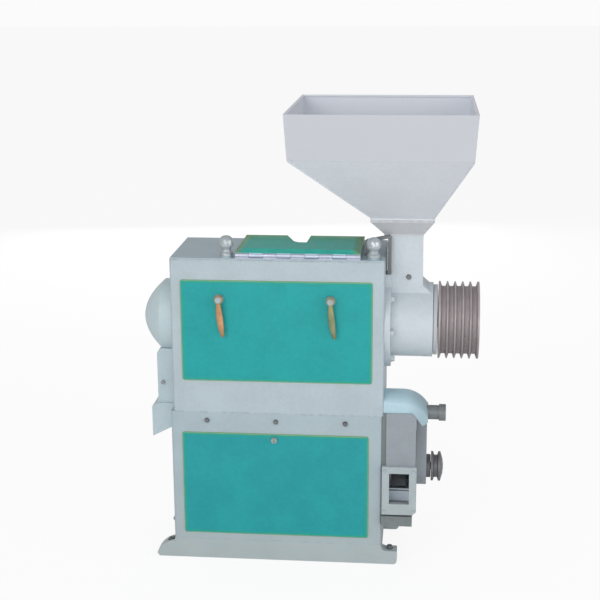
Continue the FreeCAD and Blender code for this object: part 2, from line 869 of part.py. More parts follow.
def latch_handle(x, z):
    """A hand lever hanging from the boss: a round eye, a narrow neck, a belly and a curved tail."""
    back_y = front_y - panel_thick - latch_boss_height
    front = back_y - handle_thick
    widths = [(0.0, handle_neck), (handle_neck_drop, handle_neck), (handle_belly_drop, handle_belly),
              (handle_length, handle_tip)]
    middle = [(x + handle_lean * (drop / handle_length) ** 1.8, z - drop, width / 2)
              for drop, width in widths]
    left = [Vector(c - half, front, level) for c, level, half in middle]
    right = [Vector(c + half, front, level) for c, level, half in middle]
    tip = Vector(x + handle_lean, front, z - handle_length - handle_tip / 2)
    outline = closed_wire([Part.LineSegment(left[0], left[1]), Part.Arc(left[1], left[2], left[3]),
                           Part.Arc(left[3], tip, right[3]), Part.Arc(right[3], right[2], right[1]),
                           Part.LineSegment(right[1], right[0]), Part.LineSegment(right[0], left[0])])
    blade = Part.Face(outline).extrude(Vector(0, handle_thick, 0))
    lever = blade.fuse(rod_y(latch_boss_radius, front, back_y, x, z)).removeSplitter()
    return lever.cut(rod_y(latch_shaft_radius, front - 1, back_y + 1, x, z))


def small_latch():
    """Thumb turn and short tongue that keep the lower panel shut."""
    x, z = small_latch_place()
    face_y = front_y - panel_thick
    knob_y0 = face_y - small_latch_height
    r = small_latch_radius
    knob = rod_y(r, knob_y0, face_y, x, z)
    half_slot = small_latch_slot / 2
    knob = knob.cut(box(x - half_slot, x + half_slot, knob_y0 - 1, knob_y0 + small_latch_slot, z - r, z + r))
    shaft = rod_y(small_latch_shaft, face_y, tongue_y, x, z)
    bar = box(x - small_latch_shaft, x + small_tongue_length, tongue_y, tongue_y + small_tongue_thick,
              z - small_tongue_drop, z + small_latch_shaft)
    return knob.fuse(shaft).fuse(bar).removeSplitter()


def bran_hopper():
    """A sheet funnel hung in the cabinet by its upright rim."""
    rim_top = seam_z - flange_thick - bran_rim_gap
    rim_low = rim_top - bran_rim
    neck_z = foot_height + bran_outlet_rise
    top = (cabinet_left_x + wall, cabinet_right_x - wall, -inner_y, inner_y)
    out = (-bran_outlet_length / 2, bran_outlet_length / 2, -bran_outlet_width / 2, bran_outlet_width / 2)
    t = bran_sheet
    outer = box(*top, rim_low, rim_top)
    outer = outer.fuse(frustum(out, neck_z, top, rim_low))
    outer = outer.fuse(box(*out, neck_z - bran_collar, neck_z))
    inner = box(*grown(top, -t), rim_low, rim_top + 1)
    inner = inner.fuse(frustum(grown(out, -t), neck_z, grown(top, -t), rim_low))
    inner = inner.fuse(box(*grown(out, -t), neck_z - bran_collar - 1, neck_z))
    return outer.cut(inner)


def half_screen(upper):
    """Half of the slotted drum screen, with a bolting flange along each side."""
    x0 = screen_left_x
    x1 = screen_right_x
    drum = tube_x(screen_outer, screen_inner, x0, x1, 0, shaft_z)
    reach = screen_outer + screen_flange_reach
    lip = box(x0, x1, -reach, reach, shaft_z - screen_flange_thick, shaft_z + screen_flange_thick)
    lip = lip.cut(rod_x(screen_inner, x0 - 1, x1 + 1, 0, shaft_z))
    keep_low = shaft_z if upper else shaft_z - reach
    keep = box(x0 - 1, x1 + 1, -reach, reach, keep_low, keep_low + reach)
    half = drum.fuse(lip).common(keep)
    if not upper:
        half = half.cut(screen_slots())
    return half.removeSplitter()


def screen_slots():
    """Rows of slots through the lower screen, turned about the shaft line."""
    slots = []
    pitch = (screen_right_x - screen_left_x - 2 * slot_margin) / slot_columns
    half = slot_width / 2
    for row in range(slot_rows):
        angle = 270 - slot_arc / 2 + slot_arc * row / (slot_rows - 1)
        for column in range(slot_columns):
            x = screen_left_x + slot_margin + pitch * (column + 0.5) - slot_length / 2
            slot = box(x, x + slot_length, screen_inner - 1, screen_outer + 1, shaft_z - half, shaft_z + half)
            slot.rotate(Vector(0, 0, shaft_z), Vector(1, 0, 0), angle)
            slots.append(slot)
    return Part.makeCompound(slots)


def screen_rails():
    """Rails under the screen flanges, from end wall to end wall."""
    top = shaft_z - screen_flange_thick
    x0 = casing_left_x + wall
    x1 = casing_right_x - wall
    near = screen_outer + screen_flange_reach - rail_bearing
    rails = [box(x0, x1, y0, y1, top - rail_depth, top) for y0, y1 in ((-inner_y, -near), (near, inner_y))]
    return Part.makeCompound(rails)


def main_shaft():
    shaft = rod_x(shaft_radius, shaft_left_end, shaft_right_end, 0, shaft_z)
    ends = [e for e in shaft.Edges if e.Length > 1 and e.BoundBox.XLength < 1e-6]
    return shaft.makeChamfer(shaft_chamfer, ends)


def roll_start(index):
    return first_roll_x + index * roll_pitch


def emery_roll(index):
    x0 = roll_start(index)
    x1 = x0 + roll_length
    c = roll_chamfer
    profile = [(x0, shaft_radius), (x0, roll_radius - c), (x0 + c, roll_radius), (x1 - c, roll_radius),
               (x1, roll_radius - c), (x1, shaft_radius)]
    return turned_x(profile, 0, shaft_z)


def roll_spacers():
    rings = []
    for i in range(roll_count - 1):
        x0 = roll_start(i) + roll_length
        rings.append(tube_x(spacer_radius, shaft_radius, x0, x0 + spacer_length, 0, shaft_z))
    return Part.makeCompound(rings)


def feed_screw():
    """A helical flight swept along the hub."""
    x0 = screw_start_x
    x1 = x0 + screw_length
    half = screw_thick / 2
    inner = screw_hub_radius - screw_root
    helix = Part.makeHelix(screw_pitch, screw_length - screw_thick, screw_hub_radius)
    corners = [Vector(inner, 0, -half), Vector(screw_radius, 0, -half), Vector(screw_radius, 0, half),
               Vector(inner, 0, half)]
    section = Part.makePolygon(corners + [corners[0]])
    flight = Part.Wire(helix.Edges).makePipeShell([section], True, True)
    flight.rotate(Vector(0, 0, 0), Vector(0, 1, 0), 90)
    flight.translate(Vector(x0 + half, 0, 0))
    screw = tube_x(screw_hub_radius, shaft_radius, x0, x1, 0, 0).fuse(flight)
    screw = screw.common(rod_x(screw_radius + 1, x0, x1, 0, 0))
    screw = screw.cut(rod_x(shaft_radius, x0 - 1, x1 + 1, 0, 0))
    screw.translate(Vector(0, 0, shaft_z))
    return screw


def discharge_paddle():
    """Blades on a hub that sweep the grain into the chute."""
    x1 = first_roll_x - paddle_gap
    x0 = x1 - paddle_length
    paddle = rod_x(screw_hub_radius, x0, first_roll_x, 0, shaft_z)
    half = paddle_thick / 2
    for i in range(paddle_blades):
        blade = box(x0, x1, -half, half, shaft_z, shaft_z + paddle_radius)
        blade.rotate(Vector(0, 0, shaft_z), Vector(1, 0, 0), 360.0 * i / paddle_blades + paddle_turn)
        paddle = paddle.fuse(blade)
    return paddle.cut(rod_x(shaft_radius, x0 - 1, first_roll_x + 1, 0, shaft_z)).removeSplitter()


def main_pulley():
    """Five-groove V-belt pulley with a webbed hub."""
    x0 = pulley_start_x
    x1 = x0 + pulley_width
    inner = pulley_radius - groove_depth - pulley_rim
    profile = [(x0, inner), (x0, pulley_radius)]
    for i in range(groove_count):
        x = x0 + groove_edge + groove_pitch * i
        floor = pulley_radius - groove_depth
        profile += [(x - groove_top / 2, pulley_radius), (x - groove_floor / 2, floor),
                    (x + groove_floor / 2, floor), (x + groove_top / 2, pulley_radius)]
    profile += [(x1, pulley_radius), (x1, inner)]
    pulley = turned_x(profile, 0, shaft_z)
    middle = (x0 + x1) / 2
    web = rod_x(inner + 1, middle - pulley_web / 2, middle + pulley_web / 2, 0, shaft_z)
    hub = rod_x(pulley_hub_radius, x0, x0 + pulley_hub_length, 0, shaft_z)
    pulley = pulley.fuse(web).fuse(hub).cut(rod_x(shaft_radius, x0 - 1, x1 + 1, 0, shaft_z))
    hole_circle = (pulley_hub_radius + inner) / 2
    for y, z in ring_of(pulley_hole_count, hole_circle, 0):
        pulley = pulley.cut(rod_x(pulley_hole_radius, x0 - 1, x1 + 1, y, shaft_z + z))
    return pulley.removeSplitter()


def shaft_nut():
    end = nut_start_x + shaft_nut_thick
    nut = hex_head_x(shaft_nut_radius, nut_start_x, end, 0, shaft_z)
    return nut.cut(rod_x(shaft_radius, nut_start_x - 1, end + 1, 0, shaft_z))


def housing_casting():
    """The solid casting: drum, square neck and sloping right shoulder, before it is bored out."""
    x0 = casing_right_x
    x1 = housing_end_x
    r = housing_radius
    drum = rod_x(r, x0, x1, 0, shaft_z)
    neck = box(x0, x1, -neck_half_depth, neck_half_depth, shaft_z, neck_top_z)
    high = shaft_z + r - shoulder_step
    outline = [(neck_left_x, shaft_z - 2 * r), (x1, shaft_z - 2 * r), (x1, high - shoulder_drop),
               (x1 - shoulder_run, high), (neck_right_x, neck_top_z), (neck_left_x, neck_top_z)]
    return drum.fuse(neck).common(prism_xz(outline, -2 * r, 2 * r))


def feed_housing():
    """A cast drum with an inlet neck, a flange on the casing and a lug beside the neck for the stay bar."""
    x0 = casing_right_x
    flange_end = x0 + housing_flange_thick
    spigot_start = x0 - housing_spigot_reach
    wall_x = housing_end_x - housing_end_wall
    lug_y = -stay_offset - lug_reach
    body = housing_casting().fuse(rod_x(housing_flange_radius, x0, flange_end, 0, shaft_z))
    lug_z = shaft_z + housing_radius
    lug_end = neck_wall - neck_half_depth
    body = body.fuse(box(x0, flange_end, lug_y, lug_end, lug_z, shaft_z + lug_rise))
    body = body.fuse(rod_x(spigot_radius, spigot_start, x0, 0, shaft_z))
    body = body.cut(rod_x(housing_bore, spigot_start - 1, wall_x, 0, shaft_z))
    inside = box(neck_left_x + neck_wall, neck_right_x - neck_wall, neck_wall - neck_half_depth,
                 neck_half_depth - neck_wall, shaft_z, neck_top_z + 1)
    body = body.cut(inside)
    return body.cut(rod_x(bearing_hub_radius, wall_x - 1, housing_end_x + 1, 0, shaft_z)).removeSplitter()


def right_bearing_housing():
    x0 = housing_end_x
    hub_start = x0 - housing_end_wall
    body = rod_x(collar_radius, x0, x0 + collar_length, 0, shaft_z)
    rim = [e for e in body.Edges if e.BoundBox.XMin > x0 + collar_length - 1e-6]
    body = body.makeChamfer(collar_chamfer, rim)
    body = body.fuse(rod_x(bearing_hub_radius - running_fit, hub_start, x0, 0, shaft_z))
    seat_end = x0 + collar_length
    body = body.cut(rod_x(bearing_outer, seat_end - bearing_width - gland_thick, seat_end + 1, 0, shaft_z))
    return body.cut(rod_x(gland_radius, hub_start - 1, seat_end + 1, 0, shaft_z)).removeSplitter()


def right_bearing():
    end = housing_end_x + collar_length - gland_thick
    return tube_x(bearing_outer, shaft_radius + running_fit, end - bearing_width, end, 0, shaft_z)


def discharge_housing():
    """A short drum at the left end wall, open below towards the chute."""
    x0 = discharge_end_x
    body = rod_x(discharge_radius, x0, casing_left_x, 0, shaft_z)
    body = body.fuse(rod_x(spigot_radius, casing_left_x, screen_left_x + 2 * discharge_wall, 0, shaft_z))
    body = body.cut(rod_x(discharge_radius - discharge_wall, x0 - 1, 0, 0, shaft_z))
    half = chute_width / 2 - chute_wall - cap_wall
    slot = box(x0 + 3, casing_left_x - 3, -half, half, shaft_z - 2 * discharge_radius, shaft_z)
    return body.cut(slot).removeSplitter()


def left_bearing_housing():
    """Bearing carrier clamped between the discharge housing and the nose cap."""
    hub_x = carrier_x - carrier_hub_length
    body = rod_x(discharge_radius, carrier_x, discharge_end_x, 0, shaft_z)
    body = body.fuse(rod_x(carrier_hub_radius, hub_x, carrier_x, 0, shaft_z))
    body = body.cut(rod_x(bearing_outer, hub_x - 1, carrier_x, 0, shaft_z))
    return body.cut(rod_x(gland_radius, carrier_x - 1, discharge_end_x + 1, 0, shaft_z)).removeSplitter()


def left_bearing():
    return tube_x(bearing_outer, shaft_radius + running_fit, carrier_x - bearing_width, carrier_x, 0, shaft_z)


def dome(radius, depth):
    """Profile of the cap's paraboloid, from its rim to its tip."""
    shares = [1 - i / cap_facets for i in range(cap_facets + 1)]
    return [(cap_x - depth * (1 - s * s), radius * s) for s in shares]


def nose_solid(margin):
    """The cap's outside, filled and grown by a margin."""
    radius = discharge_radius + margin
    rim = [(carrier_x, 0), (carrier_x, radius)]
    return turned_x(rim + dome(radius, cap_depth + margin), 0, shaft_z)


def nose_cap():
    """A domed cast cap over the left bearing."""
    radius = discharge_radius - 2 * cap_wall
    hollow = [(carrier_x + 1, 0), (carrier_x + 1, radius)] + dome(radius, cap_depth - cap_wall)
    return nose_solid(0).cut(turned_x(hollow, 0, shaft_z))


def rounded_duct(x0, x1, y0, y1, z0, z1, radius):
    """A box whose upper left edge is rounded."""
    duct = box(x0, x1, y0, y1, z0, z1)
    return duct.makeFillet(radius, edges_at(duct, x=x0, z=z1))


def discharge_chute():
    """A box duct under the discharge housing, hollowed to fit round it and round the cap."""
    x0 = chute_left_x
    x1 = casing_left_x
    half = chute_width / 2
    t = chute_wall
    r = chute_round
    duct = rounded_duct(x0, x1, -half, half, seam_z, chute_top_z, r)
    duct = duct.cut(rounded_duct(x0 + t, x1 - t, t - half, half - t, seam_z - 1, chute_top_z - t, r - t))
    duct = duct.cut(rod_x(discharge_radius + side_gap, cap_x, x1 + 1, 0, shaft_z))
    duct = duct.cut(nose_solid(side_gap))
    return duct.cut(rod_y(gate_shaft_radius + running_fit, -half - 1, half + 1, gate_pivot_x, gate_pivot_z))


def discharge_spout():
    """A wider hood under the chute, its mouth cut on the slant."""
    x1 = cabinet_left_x
    x0 = casing_left_x - spout_reach
    half = spout_width / 2
    chute_half = chute_width / 2 - chute_wall
    t = chute_wall
    top = seam_z
    shoulder = top - spout_shoulder
    tip = seam_z - spout_tip_drop
    outer = [(x1, top), (chute_left_x, top), (x0, shoulder), (x0, tip), (x1, seam_z - spout_inner_drop)]
    inner = [(x1 - t, top - t), (chute_left_x, top - t), (x0 + t, shoulder - t), (x0 + t, tip - 1),
             (x1 - t, tip - 1)]
    body = prism_xz(outer, -half, half).cut(prism_xz(inner, t - half, half - t))
    return body.cut(box(chute_left_x + t, x1 - t, -chute_half, chute_half, top - t - 1, top + 1))


def pressure_gate():
    """The flap that holds the grain back, welded to its pivot shaft."""
    half = chute_width / 2 - chute_wall - gate_clearance
    flap = box(0, gate_length, -half, half, -gate_thick / 2, gate_thick / 2)
    flap.rotate(Vector(0, 0, 0), Vector(0, 1, 0), gate_slope)
    flap.translate(Vector(gate_pivot_x, 0, gate_pivot_z))
    shaft_end = lever_y + lever_hub_length / 2 + gate_shaft_end / 2
    shaft = rod_y(gate_shaft_radius, -chute_width / 2 - gate_shaft_end, shaft_end, gate_pivot_x, gate_pivot_z)
    return flap.fuse(shaft).removeSplitter()


def gate_lever():
    half = lever_hub_length / 2
    low = gate_pivot_z - lever_length
    hub = rod_y(lever_hub_radius, lever_y - half, lever_y + half, gate_pivot_x, gate_pivot_z)
    rod = rod_z(lever_radius, low, gate_pivot_z, gate_pivot_x, lever_y)
    nut = rod_z(lever_nut_radius, low, low + lever_nut_thick, gate_pivot_x, lever_y)
    lever = hub.fuse(rod).fuse(nut)
    return lever.cut(rod_y(gate_shaft_radius, 0, 2 * lever_y, gate_pivot_x, gate_pivot_z)).removeSplitter()


def counterweight():
    z0 = gate_pivot_z - lever_length + lever_nut_thick
    weight = rod_z(weight_radius, z0, z0 + weight_length, gate_pivot_x, lever_y)
    rims = [e for e in weight.Edges if e.BoundBox.ZLength < 1e-6]
    weight = weight.makeChamfer(weight_chamfer, rims)
    bore = rod_z(lever_radius + running_fit, z0 - 1, z0 + weight_length + 1, gate_pivot_x, lever_y)
    return weight.cut(bore)


def outlet_rect():
    return (outlet_left_x, outlet_right_x, -outlet_half_depth, outlet_half_depth)


def hopper():
    """An open sheet hopper: flared collar, leaning pyramid and a short outlet collar with a flange."""
    t = hopper_sheet
    rim = (hopper_left_x, hopper_right_x, -hopper_half_depth, hopper_half_depth)
    fold = grown(rim, -hopper_flare)
    out = outlet_rect()
    neck_z = outlet_z + outlet_collar
    outer = frustum(fold, hopper_fold_z, rim, hopper_top_z)
    outer = outer.fuse(frustum(out, neck_z, fold, hopper_fold_z))
    outer = outer.fuse(box(*out, outlet_z, neck_z))
    outer = outer.fuse(box(*grown(out, outlet_flange), outlet_z, outlet_z + outlet_flange_thick))
    inner = frustum(grown(fold, -t), hopper_fold_z, grown(rim, -t), hopper_top_z)
    inner = inner.fuse(frustum(grown(out, -t), neck_z, grown(fold, -t), hopper_fold_z))
    inner = inner.fuse(box(*grown(out, -t), outlet_z - 1, neck_z))
    return outer.cut(inner)


def gate_runners():
    """Side and front spacers that make the slot of the slide gate, reaching out behind the throat."""
    x0, x1, y0, y1 = grown(outlet_rect(), outlet_flange)
    rear = y1 + gate_runner_reach
    w = gate_runner_width
    frame = box(x0, x1, y0, rear, runner_z, outlet_z)
    return frame.cut(box(x0 + w, x1 - w, y0 + w, rear + 1, runner_z - 1, outlet_z + 1))


def feed_gate():
    """The slide plate, drawn out to the rear, with a turned-down grip."""
    x0, x1, y0, y1 = grown(outlet_rect(), outlet_flange)
    w = gate_runner_width + side_gap
    middle = runner_z + gate_runner_thick / 2
    low = middle - gate_sheet / 2
    high = middle + gate_sheet / 2
    start = y0 + w + gate_open
    end = y1 + gate_open + gate_overhang
    plate = box(x0 + w, x1 - w, start, end, low, high)
    inset = w + gate_grip_inset
    grip = box(x0 + inset, x1 - inset, end - gate_sheet, end, low - gate_grip, high)
    return plate.fuse(grip).removeSplitter()


def throat():
    """A short square funnel between the slide gate and the feed neck."""
    inset = throat_sheet + gate_runner_width
    top = outlet_rect()
    base = (throat_left_x, throat_right_x, -neck_half_depth - throat_lip, neck_half_depth + throat_lip)
    top_edge = runner_z - outlet_flange_thick
    low_edge = neck_top_z + throat_foot
    bore = neck_half_depth - neck_wall
    duct = (neck_left_x + neck_wall, neck_right_x - neck_wall, -bore, bore)
    mouth = grown(top, -inset)
    outer = frustum(base, low_edge, top, top_edge).fuse(box(*base, neck_top_z, low_edge))
    outer = outer.fuse(box(*grown(top, outlet_flange), top_edge, runner_z))
    inner = frustum(duct, low_edge, mouth, top_edge)
    inner = inner.fuse(box(*duct, neck_top_z - 1, low_edge))
    inner = inner.fuse(box(*mouth, top_edge, runner_z + 1))
    return outer.cut(inner)


def volute_outline(inset):
    """Scroll about the blower shaft that runs down into a duct along the front."""
    front = volute_front_y + inset
    back = volute_front_y + duct_depth - inset
    top = volute_top - inset
    rear = volute_rear - inset
    low = volute_cutoff - inset
    floor = volute_bottom_z + inset
    points = [Vector(0, back, floor), Vector(0, front, floor), Vector(0, front, outlet_frame_top_z)]
    edges = [Part.LineSegment(points[0], points[1]), Part.LineSegment(points[1], points[2])]
    crown = Vector(0, blower_y, blower_z + top)
    tail = Vector(0, blower_y + rear, blower_z)
    base = Vector(0, blower_y, blower_z - low)
    lip = Vector(0, blower_y - low * math.cos(math.radians(52)), blower_z - low * math.sin(math.radians(52)))
    rise = blower_z + top - outlet_frame_top_z
    shoulder = Vector(0, blower_y - 0.72 * (blower_y - front), outlet_frame_top_z + 0.72 * rise)
    back_top = Vector(0, blower_y + 0.71 * rear, blower_z + 0.75 * top)
    back_low = Vector(0, blower_y + 0.70 * rear, blower_z - 0.74 * low)
    low_front = Vector(0, blower_y - 0.33 * low, blower_z - math.sqrt(1 - 0.33 ** 2) * low)
    edges.append(Part.Arc(points[2], shoulder, crown))
    edges.append(Part.Arc(crown, back_top, tail))
    edges.append(Part.Arc(tail, back_low, base))
    edges.append(Part.Arc(base, low_front, lip))
    edges.append(Part.LineSegment(lip, points[0]))
    return closed_wire(edges)


def volute_solid(inset, x0, x1):
    solid = Part.Face(volute_outline(inset)).extrude(Vector(x1 - x0, 0, 0))
    solid.translate(Vector(x0, 0, 0))
    return solid


def window_box(y0, y1):
    x0 = (outlet_frame_left_x + outlet_frame_right_x - window_width) / 2
    return box(x0, x0 + window_width, y0, y1, window_base_z, window_base_z + window_height)


def blower_volute():
    """Sheet scroll casing, open at the front window and at the inlet eye."""
    shell = volute_solid(0, volute_start_x, volute_end_x)
    shell = shell.cut(volute_solid(volute_sheet, volute_start_x + volute_sheet, volute_end_x - volute_sheet))
    shell = shell.cut(window_box(volute_front_y - 1, volute_front_y + volute_sheet + 1))
    eye = rod_x(inlet_eye_radius, volute_end_x - volute_sheet - 1, volute_end_x + 1, blower_y, blower_z)
    return shell.cut(eye)


def outlet_bolt_places():
    x = (outlet_frame_left_x + outlet_frame_right_x) / 2
    z = (outlet_frame_bottom_z + outlet_frame_top_z) / 2
    dx = outlet_bolt_spacing_x / 2
    dz = outlet_bolt_spacing_z / 2
    return [(x + i * dx, z + j * dz) for i in (-1, 1) for j in (-1, 1)]


def blower_outlet():
    """Flanged frame round the outlet window, with one corner cut off."""
    c = outlet_frame_chamfer
    y0 = volute_front_y - outlet_frame_thick
    x0 = outlet_frame_left_x
    x1 = outlet_frame_right_x
    z0 = outlet_frame_bottom_z
    z1 = outlet_frame_top_z
    frame = prism_xz([(x0, z0), (x1 - c, z0), (x1, z0 + c), (x1, z1), (x0, z1)], y0, volute_front_y)
    frame = frame.cut(window_box(y0 - 1, volute_front_y + 1))
    for x, z in outlet_bolt_places():
        frame = frame.cut(rod_y(outlet_bolt_radius, y0 - 1, volute_front_y + 1, x, z))
    return frame


def blower_impeller():
    """Back plate, hub and flat radial blades."""
    x0 = volute_start_x + volute_sheet + impeller_gap
    x1 = x0 + impeller_width
    wheel = rod_x(impeller_radius, x0, x0 + impeller_plate, blower_y, blower_z)
    wheel = wheel.fuse(rod_x(impeller_hub_radius, x0, x1, blower_y, blower_z))
    half = impeller_plate / 2
    for i in range(impeller_blades):
        blade = box(x0, x1, -half, half, impeller_hub_radius - impeller_plate, impeller_radius)
        blade.rotate(Vector(0, 0, 0), Vector(1, 0, 0), 360.0 * i / impeller_blades)
        blade.translate(Vector(0, blower_y, blower_z))
        wheel = wheel.fuse(blade)
    return wheel.cut(rod_x(blower_shaft_radius, x0 - 1, x1 + 1, blower_y, blower_z)).removeSplitter()


def blower_shaft():
    x0 = volute_start_x + volute_sheet + impeller_gap - 2
    return rod_x(blower_shaft_radius, x0, blower_shaft_end_x, blower_y, blower_z)


def inlet_box_outline(inset):
    half = inlet_box_half_depth - inset
    top = inlet_box_top_z + inset
    low = Vector(0, blower_y, blower_z - half)
    left = Vector(0, blower_y - half, blower_z)
    right = Vector(0, blower_y + half, blower_z)
    corners = [Vector(0, blower_y + half, top), Vector(0, blower_y - half, top)]
    edges = [Part.LineSegment(right, corners[0]), Part.LineSegment(corners[0], corners[1]),
             Part.LineSegment(corners[1], left), Part.Arc(left, low, right)]
    return closed_wire(edges)


def inlet_box():
    """Flat duct that carries the air from the elbow down to the blower's eye."""
    t = volute_sheet
    shell = Part.Face(inlet_box_outline(0)).extrude(Vector(inlet_box_thick, 0, 0))
    shell.translate(Vector(volute_end_x, 0, 0))
    hollow = Part.Face(inlet_box_outline(t)).extrude(Vector(inlet_box_thick - 2 * t, 0, 0))
    hollow.translate(Vector(volute_end_x + t, 0, 0))
    shell = shell.cut(hollow)
    shell = shell.cut(rod_x(inlet_eye_radius, volute_end_x - 1, volute_end_x + t + 1, blower_y, blower_z))
    return shell.cut(rod_x(blower_shaft_radius + 1, volute_end_x, inlet_box_end_x + 1, blower_y, blower_z))


def blower_bearing_housing():
    x0 = inlet_box_end_x
    body = rod_x(hub_radius, x0, x0 + hub_length, blower_y, blower_z)
    rim = [e for e in body.Edges if e.BoundBox.XMin > x0 + hub_length - 1e-6]
    body = body.makeChamfer(collar_chamfer, rim)
    return body.cut(rod_x(blower_shaft_radius + running_fit, x0 - 1, x0 + hub_length + 1, blower_y, blower_z))


def blower_pulley():
    """Small V-belt pulley with a dished outer face."""
    x0 = small_pulley_x
    x1 = x0 + small_pulley_width
    middle = (x0 + x1) / 2
    r = small_pulley_radius
    floor = r - small_groove_depth
    end = x1 + small_pulley_dish
    wide = groove_top * 0.4
    narrow = groove_floor * 0.45
    profile = [(x0, blower_shaft_radius), (x0, r), (middle - wide, r), (middle - narrow, floor),
               (middle + narrow, floor), (middle + wide, r), (x1, r), (end, r * 0.45),
               (end, blower_shaft_radius)]
    return turned_x(profile, blower_y, blower_z)


def elbow_front_wire():
    """Front view of the elbow: level at the casing, a wide bend, and a mitred end over the inlet box."""
    arc_x = casing_right_x + elbow_bend_reach
    centre_z = elbow_top_z - elbow_bend_radius

    def on_bend(x):
        return Vector(x, 0, centre_z + math.sqrt(elbow_bend_radius ** 2 - (x - arc_x) ** 2))

    p = [Vector(casing_right_x, 0, elbow_floor_z), Vector(casing_right_x, 0, elbow_top_z), on_bend(arc_x),
         on_bend(elbow_outer_x), Vector(elbow_outer_x, 0, elbow_floor_z - elbow_heel_drop),
         Vector(casing_right_x + elbow_tip_reach, 0, elbow_floor_z - elbow_tip_drop),
         Vector(elbow_knee_x, 0, elbow_floor_z)]
    edges = [Part.LineSegment(p[i], p[(i + 1) % len(p)]) for i in range(len(p))]
    edges[2] = Part.Arc(p[2], on_bend((arc_x + elbow_outer_x) / 2), p[3])
    return closed_wire(edges)


def elbow_section(inset, x0, x1):
    """The elbow's side view between two places: a round front edge, a level crest and a long fall."""
    front = volute_front_y + inset
    rear = elbow_rear_y - inset
    top = elbow_top_z - inset
    r = elbow_front_round - inset
    crest = volute_front_y + elbow_front_round + elbow_crest_length
    low = elbow_floor_z + inset if inset else elbow_floor_z - elbow_tip_drop - 1
    corner = r * (1 - math.sqrt(0.5))
    p = [Vector(x0, front, low), Vector(x0, front, top - r), Vector(x0, front + r, top),
         Vector(x0, crest, top), Vector(x0, rear, top - elbow_rear_drop + inset / 2), Vector(x0, rear, low)]
    edges = [Part.LineSegment(p[i], p[(i + 1) % len(p)]) for i in range(len(p))]
    edges[1] = Part.Arc(p[1], Vector(x0, front + corner, top - corner), p[2])
    return Part.Face(closed_wire(edges)).extrude(Vector(x1 - x0, 0, 0))


def suction_elbow():
    """Bent sheet duct from the casing's right wall down on to the blower's inlet box."""
    t = elbow_sheet
    x0 = casing_right_x
    depth = elbow_rear_y - volute_front_y
    outer = Part.Face(elbow_front_wire()).extrude(Vector(0, depth, 0))
    outer.translate(Vector(0, volute_front_y, 0))
    inner = Part.Face(elbow_front_wire().makeOffset2D(-t)).extrude(Vector(0, depth - 2 * t, 0))
    inner.translate(Vector(0, volute_front_y + t, 0))
    crown = outer.common(elbow_section(0, x0, elbow_outer_x))
    level = elbow_section(t, x0 - 1, elbow_outer_x - t)
    hollow = inner.common(level).fuse(level.common(box(x0 - 1, x0 + t + 1, front_y, rear_y, 0, elbow_top_z)))
    low = box(x0, elbow_outer_x, volute_front_y, elbow_rear_y, 0, elbow_floor_z + t)
    shell = crown.cut(hollow.fuse(inner.common(low)))
    front = blower_y - inlet_box_half_depth
    rear = blower_y + inlet_box_half_depth
    shell = shell.cut(box(volute_end_x, inlet_box_end_x, front, rear, 0, inlet_box_top_z))
    bore = air_spigot_radius + running_fit
    seat = rod_x(bore, elbow_outer_x - 2 * t, elbow_outer_x + 1, spigot_y, spigot_z)
    return shell.cut(seat).removeSplitter()


def air_spigot():
    x1 = elbow_outer_x + air_spigot_length
    return tube_x(air_spigot_radius, air_spigot_bore, elbow_outer_x - elbow_sheet, x1, spigot_y, spigot_z)


def air_cap():
    """Screwed cap that bleeds air into the suction."""
    x0 = elbow_outer_x + air_spigot_length - air_cap_lap
    spigot_end = elbow_outer_x + air_spigot_length
    cap = rod_x(air_cap_radius, x0, x0 + air_cap_length, spigot_y, spigot_z)
    return cap.cut(rod_x(air_spigot_radius + running_fit, x0 - 1, spigot_end, spigot_y, spigot_z))


def hanger_plate():
    """Plate down the front of the blower, bent back under the elbow and standing on the outlet frame."""
    y1 = volute_front_y
    t = hanger_thick
    x0 = volute_start_x
    share = (volute_end_x - elbow_knee_x) / (elbow_tip_reach - elbow_knee_reach)
    corner_z = elbow_floor_z - elbow_tip_drop * share
    outline = [(x0, outlet_frame_top_z), (volute_end_x, outlet_frame_top_z), (volute_end_x, corner_z),
               (elbow_knee_x, elbow_floor_z), (x0, elbow_floor_z)]
    plate = prism_xz(outline, y1 - t, y1)
    back = box(x0, elbow_knee_x, y1, y1 + hanger_return, elbow_floor_z - t, elbow_floor_z)
    return plate.fuse(back).removeSplitter()


def blower_bracket():
    """Welded shelf on the cabinet side with a saddle block under the scroll's duct."""
    x0 = cabinet_right_x
    x1 = x0 + bracket_reach
    t = bracket_thick
    shelf = box(x0, x1, bracket_front_y, bracket_rear_y, bracket_top_z - t, bracket_top_z)
    back = box(x0, x0 + t, bracket_front_y, bracket_rear_y, bracket_bottom_z, bracket_top_z)
    lip = box(x1 - t, x1, bracket_front_y, bracket_rear_y, bracket_bottom_z, bracket_top_z)
    body = shelf.fuse(back).fuse(lip)
    for y in (bracket_front_y, bracket_rear_y - t):
        body = body.fuse(box(x0, x1, y, y + t, bracket_bottom_z, bracket_top_z))
    duct_back = volute_front_y + duct_depth
    saddle = box(volute_start_x, x1, volute_front_y, duct_back, bracket_top_z, volute_bottom_z)
    return body.fuse(saddle).removeSplitter()


